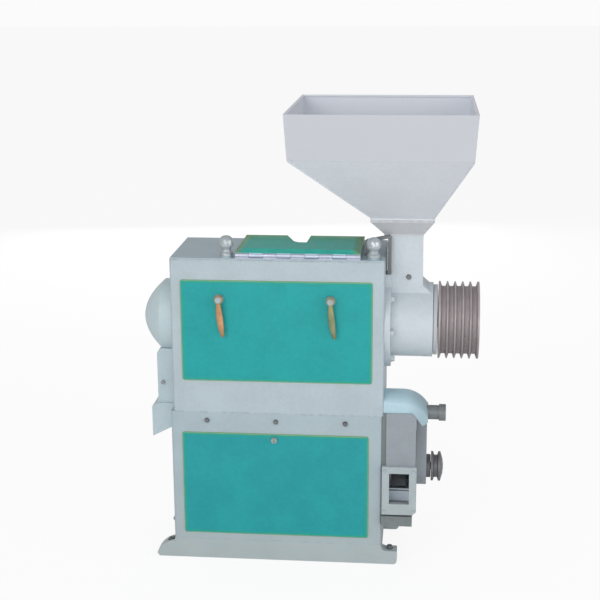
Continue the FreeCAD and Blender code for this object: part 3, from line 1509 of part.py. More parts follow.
nodes = {
    "foot_frame": foot_frame(),
    "lower_cabinet": lower_cabinet(),
    "upper_casing": upper_casing(),
    "casing_front": casing_front(),
    "bran_hopper": bran_hopper(),
    "top_plate": top_plate(),
    "cover_curb": cover_curb(),
    "cover_hinge": hinge_fixed_leaf(),
    "top_cover": top_cover(),
    "left_clamp_knob": clamp_knob(knob_left_x),
    "right_clamp_knob": clamp_knob(knob_right_x),
    "stay_bar": stay_bar(),
    "access_panel": access_panel(),
    "access_panel_rim": access_panel_rim(),
    "lower_panel": lower_panel(),
    "lower_panel_latch": small_latch(),
    "upper_screen": half_screen(True),
    "lower_screen": half_screen(False),
    "screen_rails": screen_rails(),
    "main_shaft": main_shaft(),
    "roll_spacers": roll_spacers(),
    "feed_screw": feed_screw(),
    "discharge_paddle": discharge_paddle(),
    "main_pulley": main_pulley(),
    "shaft_nut": shaft_nut(),
    "feed_housing": feed_housing(),
    "right_bearing_housing": right_bearing_housing(),
    "right_bearing": right_bearing(),
    "discharge_housing": discharge_housing(),
    "left_bearing_housing": left_bearing_housing(),
    "left_bearing": left_bearing(),
    "nose_cap": nose_cap(),
    "discharge_chute": discharge_chute(),
    "discharge_spout": discharge_spout(),
    "pressure_gate": pressure_gate(),
    "gate_lever": gate_lever(),
    "counterweight": counterweight(),
    "hopper": hopper(),
    "gate_runners": gate_runners(),
    "feed_gate": feed_gate(),
    "throat": throat(),
    "blower_volute": blower_volute(),
    "blower_outlet": blower_outlet(),
    "blower_hanger": hanger_plate(),
    "blower_impeller": blower_impeller(),
    "blower_shaft": blower_shaft(),
    "blower_inlet_box": inlet_box(),
    "blower_bearing_housing": blower_bearing_housing(),
    "blower_pulley": blower_pulley(),
    "blower_bracket": blower_bracket(),
    "suction_elbow": suction_elbow(),
    "air_spigot": air_spigot(),
    "air_cap": air_cap(),
}

for i in range(roll_count):
    nodes["emery_roll_" + str(i + 1)] = emery_roll(i)

for name, (x, z), side in zip(("left", "right"), latch_places(), (-1, 1)):
    nodes[name + "_latch_spindle"] = latch_spindle(x, z).fuse(tongue(x, z, side, tongue_length, tongue_thick))
    nodes[name + "_latch_handle"] = latch_handle(x, z)

for name, shape in nodes.items():
    shape.exportStep("parts/" + name + ".step")
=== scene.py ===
import math

import bmesh
import bpy
import numpy as np
from mathutils import Matrix, Vector


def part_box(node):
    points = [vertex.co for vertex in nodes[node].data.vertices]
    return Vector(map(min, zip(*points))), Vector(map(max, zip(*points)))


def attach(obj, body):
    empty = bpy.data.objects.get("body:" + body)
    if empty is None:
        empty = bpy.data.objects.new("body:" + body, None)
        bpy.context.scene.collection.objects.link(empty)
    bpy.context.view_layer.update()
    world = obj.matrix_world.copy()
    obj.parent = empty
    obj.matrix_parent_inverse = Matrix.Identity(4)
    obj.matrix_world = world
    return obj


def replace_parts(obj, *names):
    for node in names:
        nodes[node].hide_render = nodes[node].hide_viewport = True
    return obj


# A corn dehuller with its paint, castings, fasteners and seams. Lengths are in metres.
# +X runs along the main shaft towards the belt pulley, +Y away from the operator, +Z up.

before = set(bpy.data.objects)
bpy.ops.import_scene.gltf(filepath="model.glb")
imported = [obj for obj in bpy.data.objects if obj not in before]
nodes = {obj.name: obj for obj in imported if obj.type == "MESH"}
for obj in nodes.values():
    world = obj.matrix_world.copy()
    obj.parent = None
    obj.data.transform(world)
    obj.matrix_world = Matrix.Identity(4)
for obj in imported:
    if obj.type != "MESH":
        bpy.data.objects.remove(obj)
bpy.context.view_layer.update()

shaft_height = 0.62    # the main shaft's line, which runs along X at Y 0
hopper_middle = 0.255  # X of the hopper's middle; it stands at Y 0
hopper_fold = 1.054    # where the hopper's pyramid meets its collar


# ---- shader wiring

class Value:
    """A shader value that adds Math nodes when it is used in a sum, difference or product."""

    def __init__(self, finish, socket):
        self.finish = finish
        self.socket = socket

    def math(self, operation, *others):
        return self.finish.node("ShaderNodeMath", {"operation": operation}, [self, *others])

    def __add__(self, other):
        return self.math("ADD", other)

    __radd__ = __add__

    def __mul__(self, other):
        return self.math("MULTIPLY", other)

    __rmul__ = __mul__

    def __sub__(self, other):
        return self.math("SUBTRACT", other)

    def __rsub__(self, other):
        return self * -1.0 + other

    def __abs__(self):
        return self.math("ABSOLUTE")

    def smaller(self, other):
        return self.math("MINIMUM", other)

    def larger(self, other):
        return self.math("MAXIMUM", other)

    def power(self, other):
        return self.math("POWER", other)

    def sine(self):
        return self.math("SINE")

    def ramp(self, low, high):
        """0 below low, 1 above high and a smooth rise between them."""
        return self.finish.node("ShaderNodeMapRange", {"interpolation_type": "SMOOTHSTEP"},
                                {"Value": self, "From Min": low, "From Max": high})


class Finish:
    """One material: a Principled shader and the nodes that feed it."""

    def __init__(self, name, **plain):
        self.material = bpy.data.materials.new(name)
        self.material.use_nodes = True
        self.tree = self.material.node_tree
        self.shader = self.tree.nodes["Principled BSDF"]
        for socket, value in plain.items():
            self.shader.inputs[socket.replace("_", " ")].default_value = value
        self.place = self.node("ShaderNodeTexCoord", {}, {}, "Object")

    def node(self, kind, settings, inputs, output=0):
        """One output of a new node, whose inputs are plain values or shader values."""
        made = self.tree.nodes.new(kind)
        for key, value in settings.items():
            setattr(made, key, value)
        pairs = inputs.items() if isinstance(inputs, dict) else enumerate(inputs)
        for key, value in pairs:
            if isinstance(value, Value):
                self.tree.links.new(value.socket, made.inputs[key])
            else:
                made.inputs[key].default_value = value
        return Value(self, made.outputs[output])

    def feed(self, socket, value):
        self.tree.links.new(value.socket, self.shader.inputs[socket])

    def axis(self, name):
        return self.node("ShaderNodeSeparateXYZ", {}, [self.place], name)

    def noise(self, scale, detail=2.0, rough=0.5, stretch=None):
        spot = self.place
        if stretch:
            spot = self.node("ShaderNodeMapping", {}, {"Vector": spot, "Scale": stretch})
        return self.node("ShaderNodeTexNoise", {},
                         {"Vector": spot, "Scale": scale, "Detail": detail, "Roughness": rough})

    def mix(self, share, first, second):
        """Colour between first and second; share may vary over the surface."""
        return self.node("ShaderNodeMix", {"data_type": "RGBA"},
                         {0: share, 6: first, 7: second}, 2)

    def edge(self, low, high):
        """Distance to the nearest edge of a box, for a point on one of its faces: the middle one
        of its three distances to the faces."""
        x, y, z = ((b - a) / 2 - abs(self.axis(name) - (a + b) / 2)
                   for name, a, b in zip("XYZ", low, high))
        return x.smaller(y).larger(x.larger(y).smaller(z))

    def bump(self, height, strength, distance):
        made = self.node("ShaderNodeBump", {},
                         {"Height": height, "Strength": strength, "Distance": distance})
        self.feed("Normal", made)


def colour(text):
    """Linear colour of a six-digit sRGB code."""
    parts = np.array([int(text[i:i + 2], 16) for i in (0, 2, 4)]) / 255.0
    linear = np.where(parts <= 0.04045, parts / 12.92, ((parts + 0.055) / 1.055) ** 2.4)
    return (*linear.tolist(), 1.0)


def tint(text, factor):
    """A six-digit sRGB code made lighter or darker by a factor on its linear colour."""
    return (*[min(part * factor, 1.0) for part in colour(text)[:3]], 1.0)


# ---- paints and metals

def within(low, high):
    """Mask that is 1 inside a box of lowest and highest corners."""
    soft = 0.0004

    def mask(paint):
        x, y, z = (paint.axis(name).ramp(a - soft, a) * (1.0 - paint.axis(name).ramp(b, b + soft))
                   for name, a, b in zip("XYZ", low, high))
        return x * y * z
    return mask


def within_collar(paint):
    """Mask of the inner face of the hopper's collar, whose walls lean outwards from the fold to
    the rim."""
    half_x, half_y = (0.2145, 0.2150), (0.2265, 0.2270)
    lean = 0.0654
    up = paint.axis("Z") - hopper_fold
    x = abs(paint.axis("X") - hopper_middle) - up * lean
    y = abs(paint.axis("Y")) - up * lean
    return (1.0 - x.ramp(*half_x)) * (1.0 - y.ramp(*half_y)) * up.ramp(0.0, 0.002)


def enamel(name, base, gloss=0.36, patches=9.0, cast=0.0, grime=0.2, worn=None, fade=None,
           inside=None):
    """Sprayed enamel: cloudy tone, fine mottle, orange peel and dust that settles low down. Cast
    is the strength of a casting's grain. Worn gives a box's lowest and highest corners, along
    whose edges the paint is rubbed. Fade gives an axis, the two places between which the paint
    changes, and the factor it ends at: a painted shade. Inside gives a mask, and the paint's
    factor where it is 1: painted light or painted shade within the mask."""
    paint = Finish(name, IOR=1.5)
    cloud = paint.noise(patches, 4.0, 0.6).ramp(0.32, 0.7)
    mottle = paint.noise(130.0, 4.0, 0.7).ramp(0.3, 0.7)
    tone = paint.mix(cloud * 0.6 + mottle * 0.4, tint(base, 0.94), tint(base, 1.07))
    # Painted shade: the paint darkens along an axis.
    if fade:
        axis, start, end, factor = fade
        tone = paint.mix(paint.axis(axis).ramp(start, end), tone, tint(base, factor))
    # Painted light or shade: the paint is made lighter or darker inside a mask.
    if inside:
        mask, factor = inside
        tone = paint.mix(mask(paint), tone, tint(base, factor))
    low = 1.0 - paint.axis("Z").ramp(0.0, 0.3)
    dust = low * mottle * grime
    tone = paint.mix(dust, tone, colour("b3ada0"))
    chips = paint.noise(190.0, 3.0, 0.7).ramp(0.735, 0.76) * paint.noise(14.0).ramp(0.5, 0.72)
    if worn:
        ragged = paint.noise(70.0, 4.0, 0.7).ramp(0.42, 0.62)
        rubbed = (1.0 - paint.edge(*worn).ramp(0.0006, 0.0042)) * ragged
        tone = paint.mix(rubbed * 0.35, tone, tint(base, 0.7))
        chips = chips.larger(rubbed * 0.25)
    tone = paint.mix(chips * 0.45, tone, colour("75716b"))
    paint.feed("Base Color", tone)
    paint.feed("Roughness", cloud * 0.1 + mottle * 0.06 + chips * 0.25 + gloss)
    peel = paint.noise(420.0)
    if cast:
        peel = peel * 0.4 + paint.noise(150.0, 4.0, 0.7) * cast
    paint.bump(peel, 0.16, 0.0006)
    return paint


def panel_enamel(name, base, low, high):
    """Teal panel enamel between two corners: cloudy and mottled, greener towards the rim, with a
    thin olive line where the edge is bare of the top coat."""
    paint = Finish(name, IOR=1.5, Specular_IOR_Level=0.3)
    across = abs(paint.axis("X") - (low[0] + high[0]) / 2)
    up = abs(paint.axis("Z") - (low[2] + high[2]) / 2)
    inset = ((high[0] - low[0]) / 2 - across).smaller((high[2] - low[2]) / 2 - up)
    inset = inset + paint.noise(34.0, 3.0, 0.6) * 0.003 - 0.0015
    cloud = paint.noise(14.0, 5.0, 0.62).ramp(0.3, 0.72)
    mottle = paint.noise(130.0, 4.0, 0.7).ramp(0.35, 0.68)
    tone = paint.mix(cloud * 0.6 + mottle * 0.4, tint(base, 0.92), tint(base, 1.09))
    tone = paint.mix((1.0 - inset.ramp(0.004, 0.011)) * 0.6, tone, colour("2ea184"))
    tone = paint.mix((1.0 - inset.ramp(0.0012, 0.0036)) * 0.7, tone, colour("93ad74"))
    paint.feed("Base Color", tone)
    paint.feed("Roughness", cloud * 0.1 + mottle * 0.06 + 0.36)
    paint.bump(paint.noise(380.0), 0.14, 0.0006)
    return paint


def cover_enamel(name, low, high, hinge_line):
    """Enamel of the cover between two corners: teal on its front slope, green along its crest as
    painted shade where the crest falls away to the rear, olive at its ends and its rear rim. In
    front of the hinge line and below the cover's own sheet, the knuckles are plated like the rest
    of the hinge."""
    teal = "3fa99c"
    knuckle_top = (0.811, 0.8116)
    paint = Finish(name, IOR=1.5, Specular_IOR_Level=0.15)
    cloud = paint.noise(22.0, 4.0, 0.6).ramp(0.3, 0.7)
    mottle = paint.noise(120.0, 4.0, 0.7).ramp(0.35, 0.68)
    tone = paint.mix(cloud * 0.6 + mottle * 0.4, tint(teal, 0.9), tint(teal, 1.1))
    # Painted shade: a darker green along the crest, where the cover slopes away to the rear.
    crest = (paint.axis("Y") + cloud * 0.03).ramp(-0.01, 0.06)
    tone = paint.mix(crest * 0.9, tone, colour("429e74"))
    middle, half = (low[0] + high[0]) / 2, (high[0] - low[0]) / 2
    ends = (abs(paint.axis("X") - middle) + cloud * 0.008).ramp(half - 0.02, half)
    rim = (paint.axis("Y") + cloud * 0.006).ramp(high[1] - 0.012, high[1] - 0.004)
    tone = paint.mix(ends.larger(rim) * 0.6, tone, colour("84995c"))
    ahead = 1.0 - paint.axis("Y").ramp(hinge_line - 0.0006, hinge_line)
    plated = ahead * (1.0 - paint.axis("Z").ramp(*knuckle_top))
    tone = paint.mix(plated, tone, colour("bcc8da"))
    paint.feed("Base Color", tone)
    paint.feed("Metallic", plated * 0.6)
    paint.feed("Roughness", cloud * 0.12 + 0.34)
    paint.bump(paint.noise(380.0), 0.14, 0.0006)
    return paint


def iron(name, base, metallic=0.35, lathe=0.0, turn=None):
    """Grey iron with stains. Lathe is the pitch of fine cutting rings across X. Turn gives the
    radii of a groove's floor and crest about the main shaft: floors are darker and crests are
    polished, and the metal is streaked, paler on its upper half and darker on its lower half as
    painted shade below the shaft line."""
    metal = Finish(name)
    cloud = metal.noise(34.0, 5.0, 0.65).ramp(0.3, 0.7)
    tone = metal.mix(cloud, tint(base, 0.88), tint(base, 1.14))
    stain = metal.noise(22.0, 6.0, 0.7).ramp(0.55, 0.75)
    rust = stain * 0.2
    tone = metal.mix(rust, tone, colour("6b4a35"))
    grain = metal.noise(260.0, 3.0, 0.7)
    polish = 0.0
    if turn:
        floor, crest = turn
        away, rise = metal.axis("Y"), metal.axis("Z") - shaft_height
        radius = (away.power(2.0) + rise.power(2.0)).power(0.5)
        depth = radius.ramp(floor, crest)
        # Painted shade: below the shaft line the metal darkens; above it the tone stays lit.
        upper = metal.axis("Z").ramp(shaft_height - 0.035, shaft_height + 0.035)
        streak = metal.noise(60.0, 4.0, 0.7, (3.0, 0.25, 0.25)).ramp(0.35, 0.65)
        tone = metal.mix(upper * 0.6 + streak * 0.4, tint(base, 0.6), tone)
        tone = metal.mix(depth * 0.4 + 0.6, tint(base, 0.7), tone)
        bare = radius.ramp(crest - 0.0015, crest - 0.0003) * metal.noise(30.0, 3.0).ramp(0.3, 0.6)
        tone = metal.mix(bare * 0.25, tone, colour("a8a19f"))
        polish = bare * -0.12
    metal.feed("Base Color", tone)
    metal.feed("Metallic", (1.0 - rust) * metallic)
    metal.feed("Roughness", cloud * 0.12 + stain * 0.2 + 0.46 + polish)
    if lathe:
        grain = grain * 0.5 + (metal.axis("X") * (2 * math.pi / lathe)).sine() * 0.35
    metal.bump(grain, 0.2, 0.0004)
    return metal


def steel(name, shade="b6b9bd", rough=0.3, worn=0.3, metallic=1.0):
    """Steel with a fine grain and dull finger marks."""
    metal = Finish(name, Metallic=metallic)
    grain = metal.noise(300.0, 3.0, 0.7)
    smudge = metal.noise(26.0, 4.0, 0.6).ramp(0.4, 0.75)
    metal.feed("Base Color", metal.mix(smudge * worn, colour(shade), tint(shade, 0.5)))
    metal.feed("Roughness", grain * 0.16 + smudge * 0.18 + rough)
    metal.bump(grain, 0.1, 0.0003)
    return metal


def emery(name):
    """Bonded grit: dark binder with glassy grains that stand out."""
    stone = Finish(name)
    grit = stone.noise(900.0, 2.0, 0.6).ramp(0.42, 0.66)
    patch = stone.noise(40.0, 4.0).ramp(0.3, 0.7)
    tone = stone.mix(patch, colour("3c3935"), colour("57514a"))
    stone.feed("Base Color", stone.mix(grit * 0.6, tone, colour("8f887d")))
    stone.feed("Roughness", 0.9 - grit * 0.3)
    stone.bump(grit, 0.6, 0.0012)
    return stone


def zinc(name, base, dull, low, high):
    """Bright zinc plate that is bluish and cloudy, duller towards the foot of each piece between
    two heights."""
    metal = Finish(name)
    cloud = metal.noise(60.0, 4.0, 0.65).ramp(0.35, 0.7)
    foot = 1.0 - metal.axis("Z").ramp(low, high)
    metal.feed("Base Color", metal.mix(cloud * 0.5 + foot * 0.4, colour(base), colour(dull)))
    metal.feed("Metallic", 0.55 - cloud * 0.2)
    metal.feed("Roughness", cloud * 0.15 + foot * 0.1 + 0.26)
    metal.bump(metal.noise(340.0), 0.08, 0.0003)
    return metal


def lever_casting(name, bright, dark, warm, eye, tip):
    """Cast lever of copper alloy between two heights: bright where a palm rubs its belly, warmer
    at the eye, dark and greenish towards the tip and in the pores."""
    metal = Finish(name)
    cloud = metal.noise(70.0, 4.0, 0.65).ramp(0.32, 0.7)
    drop = 1.0 - metal.axis("Z").ramp(tip, eye)
    tone = metal.mix(cloud * 0.55, colour(bright), colour(dark))
    tone = metal.mix((1.0 - drop.ramp(0.1, 0.3)) * 0.75, tone, colour(warm))
    pores = metal.noise(420.0, 3.0, 0.7).ramp(0.6, 0.72)
    green = (drop.ramp(0.7, 1.0) * 0.45 + pores * 0.35).smaller(0.8)
    tone = metal.mix(green, tone, colour("5d5a34"))
    metal.feed("Base Color", tone)
    metal.feed("Metallic", 0.45 - pores * 0.3)
    metal.feed("Roughness", cloud * 0.15 + pores * 0.2 + 0.3)
    metal.bump(metal.noise(300.0, 3.0, 0.6), 0.18, 0.0004)
    return metal


# Painted shade: the hopper's collar above the fold is darkened against its slope, which wears the
# same paint.
collar_painted_shade = ("Z", hopper_fold - 0.0015, hopper_fold + 0.0005, 0.82)
# Painted light inside the blower's volute, seen through its outlet: there the paint is made 2.6
# times lighter.
blower_painted_light = within((0.2745, -0.1195, 0.155), (0.3455, 0.02, 0.27))

paints = {
    "casing_paint": enamel("casing_enamel", "b0bec5", worn=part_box("upper_casing")),
    "cabinet_paint": enamel("cabinet_enamel", "a7b7be", grime=0.35, worn=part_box("lower_cabinet")),
    "foot_paint": enamel("foot_enamel", "a9b9bf", cast=0.5, grime=0.5),
    # Painted light on the inner face of the hopper's collar, where the front rim casts shade.
    "hopper_paint": enamel("hopper_enamel", "cfd3da", patches=5.0, fade=collar_painted_shade,
                           inside=(within_collar, 1.25)),
    "housing_paint": enamel("housing_enamel", "c3ccd2", cast=0.7),
    "apron_paint": enamel("apron_enamel", "c5cacf", cast=0.7),
    "nose_paint": enamel("nose_enamel", "bfd0d5", cast=0.5),
    "throat_paint": enamel("throat_enamel", "bfc2c7", worn=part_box("throat")),
    "deck_paint": enamel("deck_enamel", "abbbc3", patches=16.0, gloss=0.44,
                         worn=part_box("top_plate")),
    # Painted shade: the hood's paint darkens towards its bend on the right.
    "hood_paint": enamel("hood_enamel", "b3cfdb", fade=("X", 0.315, 0.365, 0.74)),
    "blower_paint": enamel("blower_enamel", "939ba2", patches=14.0, inside=(blower_painted_light, 2.6)),
    "outlet_paint": enamel("outlet_enamel", "abb6ba", patches=14.0, worn=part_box("blower_outlet")),
    "bracket_paint": enamel("bracket_enamel", "727b7d", gloss=0.45),
    # Painted shade: the stay bar is dark to stand for the shade in the gap between the casing's
    # wall and the neck.
    "stay_paint": enamel("stay_shade_enamel", "6f7376", gloss=0.42),
    "chute_paint": enamel("chute_enamel", "bacad1"),
    "upper_panel_paint": panel_enamel("upper_panel_enamel", "1e9e9f", *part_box("access_panel")),
    "lower_panel_paint": panel_enamel("lower_panel_enamel", "229a9f", *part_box("lower_panel")),
    "cover_paint": cover_enamel("cover_enamel", *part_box("top_cover"), hinge_line=-0.1115),
    "pulley_iron": iron("pulley_iron", "b4abad", metallic=0.15, lathe=0.0015,
                        turn=(0.083, 0.0972)),
    "small_pulley_iron": iron("small_pulley_iron", "77777b", lathe=0.0015),
    "spigot_iron": iron("spigot_iron", "7b8082"),
    "bright_steel": steel("bright_steel"),
    "sheet_steel": steel("sheet_steel", "9c9ea1", 0.38),
    "hinge_steel": zinc("hinge_zinc", "c6cadc", "aab2c2", 0.79, 0.812),
    "knob_steel": zinc("knob_zinc", "c0c7cb", "98a3a8", 0.797, 0.84),
    "latch_steel": steel("latch_steel", "aeb8b6", 0.34, worn=0.4, metallic=0.7),
    "fastener_steel": steel("fastener_steel", "7d8082", 0.4, worn=0.5, metallic=0.7),
    "emery": emery("emery_stone"),
    "handle_bronze": lever_casting("bronze_lever", "c89a72", "9f7050", "bb8d62", 0.70, 0.59),
    "handle_brass": lever_casting("brass_lever", "8d9574", "6b7452", "a09a68", 0.70, 0.59),
}

dressed = {
    "casing_paint": ["upper_casing", "casing_front"],
    "cabinet_paint": ["lower_cabinet"],
    "foot_paint": ["foot_frame"],
    "hopper_paint": ["hopper"],
    "housing_paint": ["feed_housing", "right_bearing_housing"],
    "nose_paint": ["discharge_housing", "left_bearing_housing", "nose_cap"],
    "throat_paint": ["throat", "gate_runners"],
    "deck_paint": ["top_plate", "cover_curb"],
    "hood_paint": ["suction_elbow"],
    "blower_paint": ["blower_volute", "blower_hanger", "blower_inlet_box"],
    "bracket_paint": ["blower_bracket"],
    "outlet_paint": ["blower_outlet"],
    "chute_paint": ["discharge_chute", "discharge_spout"],
    "stay_paint": ["stay_bar"],
    "upper_panel_paint": ["access_panel", "access_panel_rim"],
    "lower_panel_paint": ["lower_panel"],
    "cover_paint": ["top_cover"],
    "pulley_iron": ["main_pulley"],
    "small_pulley_iron": ["blower_pulley", "blower_bearing_housing", "counterweight"],
    "spigot_iron": ["air_spigot", "air_cap"],
    "bright_steel": ["main_shaft", "shaft_nut", "blower_shaft", "left_bearing", "right_bearing",
                     "gate_lever"],
    "latch_steel": ["lower_panel_latch", "left_latch_spindle", "right_latch_spindle"],
    "sheet_steel": ["bran_hopper", "upper_screen", "lower_screen", "screen_rails",
                    "roll_spacers", "feed_screw", "discharge_paddle", "pressure_gate",
                    "feed_gate", "blower_impeller"],
    "hinge_steel": ["cover_hinge"],
    "emery": ["emery_roll_1", "emery_roll_2", "emery_roll_3"],
    "knob_steel": ["left_clamp_knob", "right_clamp_knob"],
    "handle_bronze": ["left_latch_handle"],
    "handle_brass": ["right_latch_handle"],
}


def coat(piece, finish):
    """Gives a piece one finish, by its key in paints."""
    piece.data.materials.clear()
    piece.data.materials.append(paints[finish].material)


for finish, names in dressed.items():
    for name in names:
        coat(nodes[name], finish)


# ---- stage, light and camera

def stage_floor():
    """A plain pale floor that reads as white to the camera and keeps a soft shadow."""
    reach = 30.0
    glow_strength, glow_share = 1.02, 0.86
    mesh = bpy.data.meshes.new("floor")
    mesh.from_pydata([(-reach, -reach, 0), (reach, -reach, 0), (reach, reach, 0),
                      (-reach, reach, 0)], [], [(0, 1, 2, 3)])
    floor = bpy.data.objects.new("floor", mesh)
    bpy.context.collection.objects.link(floor)
    pale = Finish("floor_pale", Roughness=1.0, Base_Color=(0.86, 0.86, 0.86, 1.0),
                  Specular_IOR_Level=0.0)
    path = pale.node("ShaderNodeLightPath", {}, {}, "Is Camera Ray")
    glow = pale.node("ShaderNodeEmission", {},
                     {"Color": (1, 1, 1, 1), "Strength": glow_strength})
    blend = pale.node("ShaderNodeMixShader", {},
                      [path * glow_share, Value(pale, pale.shader.outputs[0]), glow])
    surface = pale.tree.nodes["Material Output"].inputs["Surface"]
    pale.tree.links.new(blend.socket, surface)
    mesh.materials.append(pale.material)


def stage_world():
    """An even pale sky that shows as white behind the object and lights it at half strength."""
    light_strength, seen_strength = 0.5, 0.965
    world = bpy.data.worlds.new("studio")
    bpy.context.scene.world = world
    world.use_nodes = True
    tree = world.node_tree
    back = tree.nodes["Background"]
    back.inputs["Color"].default_value = (1, 1, 1, 1)
    path = tree.nodes.new("ShaderNodeLightPath")
    seen = tree.nodes.new("ShaderNodeMath")
    seen.operation = "MAXIMUM"
    tree.links.new(path.outputs["Is Camera Ray"], seen.inputs[0])
    tree.links.new(path.outputs["Is Transmission Ray"], seen.inputs[1])
    level = tree.nodes.new("ShaderNodeMapRange")
    level.inputs["To Min"].default_value = light_strength
    level.inputs["To Max"].default_value = seen_strength
    tree.links.new(seen.outputs[0], level.inputs["Value"])
    tree.links.new(level.outputs[0], back.inputs["Strength"])


def lamp(name, spot, target, size, watts, mirrored=True):
    """A square lamp turned to its target; one that isn't mirrored leaves no reflections."""
    light = bpy.data.lights.new(name, "AREA")
    light.shape = "SQUARE"
    light.size = size
    light.energy = watts
    holder = bpy.data.objects.new(name, light)
    holder.location = spot
    aim = Vector(target) - Vector(spot)
    holder.rotation_euler = aim.to_track_quat("-Z", "Y").to_euler()
    holder.visible_glossy = mirrored
    bpy.context.collection.objects.link(holder)


def stage_camera():
    """The photograph's eye: to the right of the machine and above it, looking slightly down."""
    spot = (0.363, -3.179, 1.490)
    yaw, pitch, roll = (math.radians(angle) for angle in (5.7, 14.5, -0.35))
    ahead = Vector((-math.sin(yaw) * math.cos(pitch), math.cos(yaw) * math.cos(pitch),
                    -math.sin(pitch)))
    level = Vector((math.cos(yaw), math.sin(yaw), 0.0))
    rise = level.cross(ahead)
    right = level * math.cos(roll) + rise * math.sin(roll)
    up = rise * math.cos(roll) - level * math.sin(roll)
    data = bpy.data.cameras.new("camera")
    data.sensor_width = 36.0
    data.lens = 77.64
    eye = bpy.data.objects.new("camera", data)
    rows = [(r, u, -a, s) for r, u, a, s in zip(right, up, ahead, spot)]
    eye.matrix_world = Matrix((*rows, (0, 0, 0, 1)))
    bpy.context.collection.objects.link(eye)
    bpy.context.scene.camera = eye


stage_floor()
stage_world()
lamp("key", (-1.6, -3.7, 2.3), (0.0, 0.0, 0.6), 2.4, 50.0)
lamp("front", (0.7, -4.2, 0.95), (0.0, 0.0, 0.6), 2.4, 36.0)
lamp("side", (3.6, -1.8, 1.3), (0.1, 0.0, 0.6), 2.4, 32.0)
lamp("rear", (-0.6, 4.0, 1.5), (0.0, 0.0, 0.6), 2.6, 50.0, mirrored=False)
stage_camera()
bpy.context.scene.view_settings.view_transform = "Standard"


# ---- meshes

def facets(rows, columns, closed=False):
    """Faces of a grid of points that is wrapped in its second direction; a closed one also joins
    its last row to its first."""
    index = np.arange(rows * columns).reshape(rows, columns)
    if closed:
        index = np.vstack([index, index[:1]])
    index = np.hstack([index, index[:, :1]])
    corners = [index[:-1, :-1], index[1:, :-1], index[1:, 1:], index[:-1, 1:]]
    return np.stack(corners, axis=-1).reshape(-1, 4)


def solid(name, finish, body, points, faces):
    """A closed piece from points and faces, its doubles merged and its normals turned outwards."""
    mesh = bpy.data.meshes.new(name)
    mesh.from_pydata(np.asarray(points).tolist(), [], np.asarray(faces).tolist())
    work = bmesh.new()
    work.from_mesh(mesh)
    bmesh.ops.remove_doubles(work, verts=work.verts, dist=1e-6)
    bmesh.ops.recalc_face_normals(work, faces=work.faces)
    for face in work.faces:
        face.smooth = True
    work.to_mesh(mesh)
    work.free()
    piece = bpy.data.objects.new(name, mesh)
    bpy.context.collection.objects.link(piece)
    mesh.set_sharp_from_angle(angle=math.radians(38))
    coat(piece, finish)
    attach(piece, body)
    return piece


def skin(name, finish, body, grid, closed=False):
    """A piece through the points of one grid."""
    return solid(name, finish, body, grid.reshape(-1, 3), facets(*grid.shape[:2], closed))


def many(name, finish, body, grid, places):
    """One piece of copies of a grid, each at a place and along an axis."""
    rows, columns = grid.shape[:2]
    points = np.concatenate([grid.reshape(-1, 3) @ turn_to(axis).T + np.array(spot)
                             for spot, axis in places])
    shifts = np.arange(len(places))[:, None, None] * (rows * columns)
    faces = facets(rows, columns)[None] + shifts
    return solid(name, finish, body, points, faces.reshape(-1, 4))


def turn_to(axis):
    """Rotation that carries +Z to the given direction, as a 3 by 3 array."""
    return np.array(Vector((0, 0, 1)).rotation_difference(Vector(axis)).to_matrix())


def circle(steps):
    """Angles of evenly spaced points once round."""
    return np.linspace(0, 2 * np.pi, steps, endpoint=False)


def turned(profile, steps):
    """Grid of a profile of radius, height pairs carried once round +Z; a radius may be an array
    that varies with the angle."""
    angle = circle(steps)
    return np.stack([np.stack([radius * np.cos(angle), radius * np.sin(angle),
                               np.full(steps, height)], axis=-1) for radius, height in profile])


def hex_head(across, height):
    """Grid of a hexagon head with a chamfered top on a washer."""
    steps = 36
    angle = circle(steps)
    flat = across / 2
    hexagon = flat / np.cos((angle + np.pi / 6) % (np.pi / 3) - np.pi / 6)
    base = height * 0.25
    top = base + height
    return turned([(0.0, 0.0), (flat * 1.32, 0.0), (flat * 1.32, base * 0.8), (flat * 1.27, base),
                   (hexagon, base), (hexagon, base + height * 0.82),
                   (np.minimum(hexagon, flat * 1.02), top), (flat * 0.6, top), (0.0, top)], steps)


def around_x(count, radius, start, x):
    """Places on a circle about the main shaft's line."""
    angle = np.radians(start + 360.0 * np.arange(count) / count)
    return [(x, -radius * math.cos(a), shaft_height + radius * math.sin(a)) for a in angle]


def sweep(path, radii, sides, closed=False):
    """Grid of circles of the given radii carried along a path of points."""
    path = np.asarray(path, float)
    if closed:
        along = np.roll(path, -1, axis=0) - np.roll(path, 1, axis=0)
    else:
        along = np.gradient(path, axis=0)
    along /= np.linalg.norm(along, axis=1)[:, None]
    upright = np.abs(along[:, 2:]) > 0.9
    guide = np.where(upright, np.array([[0.0, 1.0, 0.0]]), np.array([[0.0, 0.0, 1.0]]))
    side = np.cross(along, guide)
    side /= np.linalg.norm(side, axis=1)[:, None]
    lift = np.cross(side, along)
    angle = circle(sides)
    radii = np.broadcast_to(np.asarray(radii, float), (len(path),))
    ring = side[:, None] * np.cos(angle)[:, None] + lift[:, None] * np.sin(angle)[:, None]
    return path[:, None] + ring * radii[:, None, None]


def weld(name, finish, body, start, end, radius):
    """A weld bead: a thin rod whose radius ripples along its length and closes at both ends."""
    pitch, step = 0.0045, 0.0016
    start, end = np.asarray(start, float), np.asarray(end, float)
    length = np.linalg.norm(end - start)
    t = np.linspace(0, 1, max(int(length / step), 8))
    ripple = 1 + 0.14 * np.sin(t * length / pitch * 2 * np.pi)
    close = np.sqrt(np.clip(1 - (2 * t - 1) ** 40, 0, 1))
    skin(name, finish, body, sweep(start + (end - start) * t[:, None], radius * ripple * close, 7))


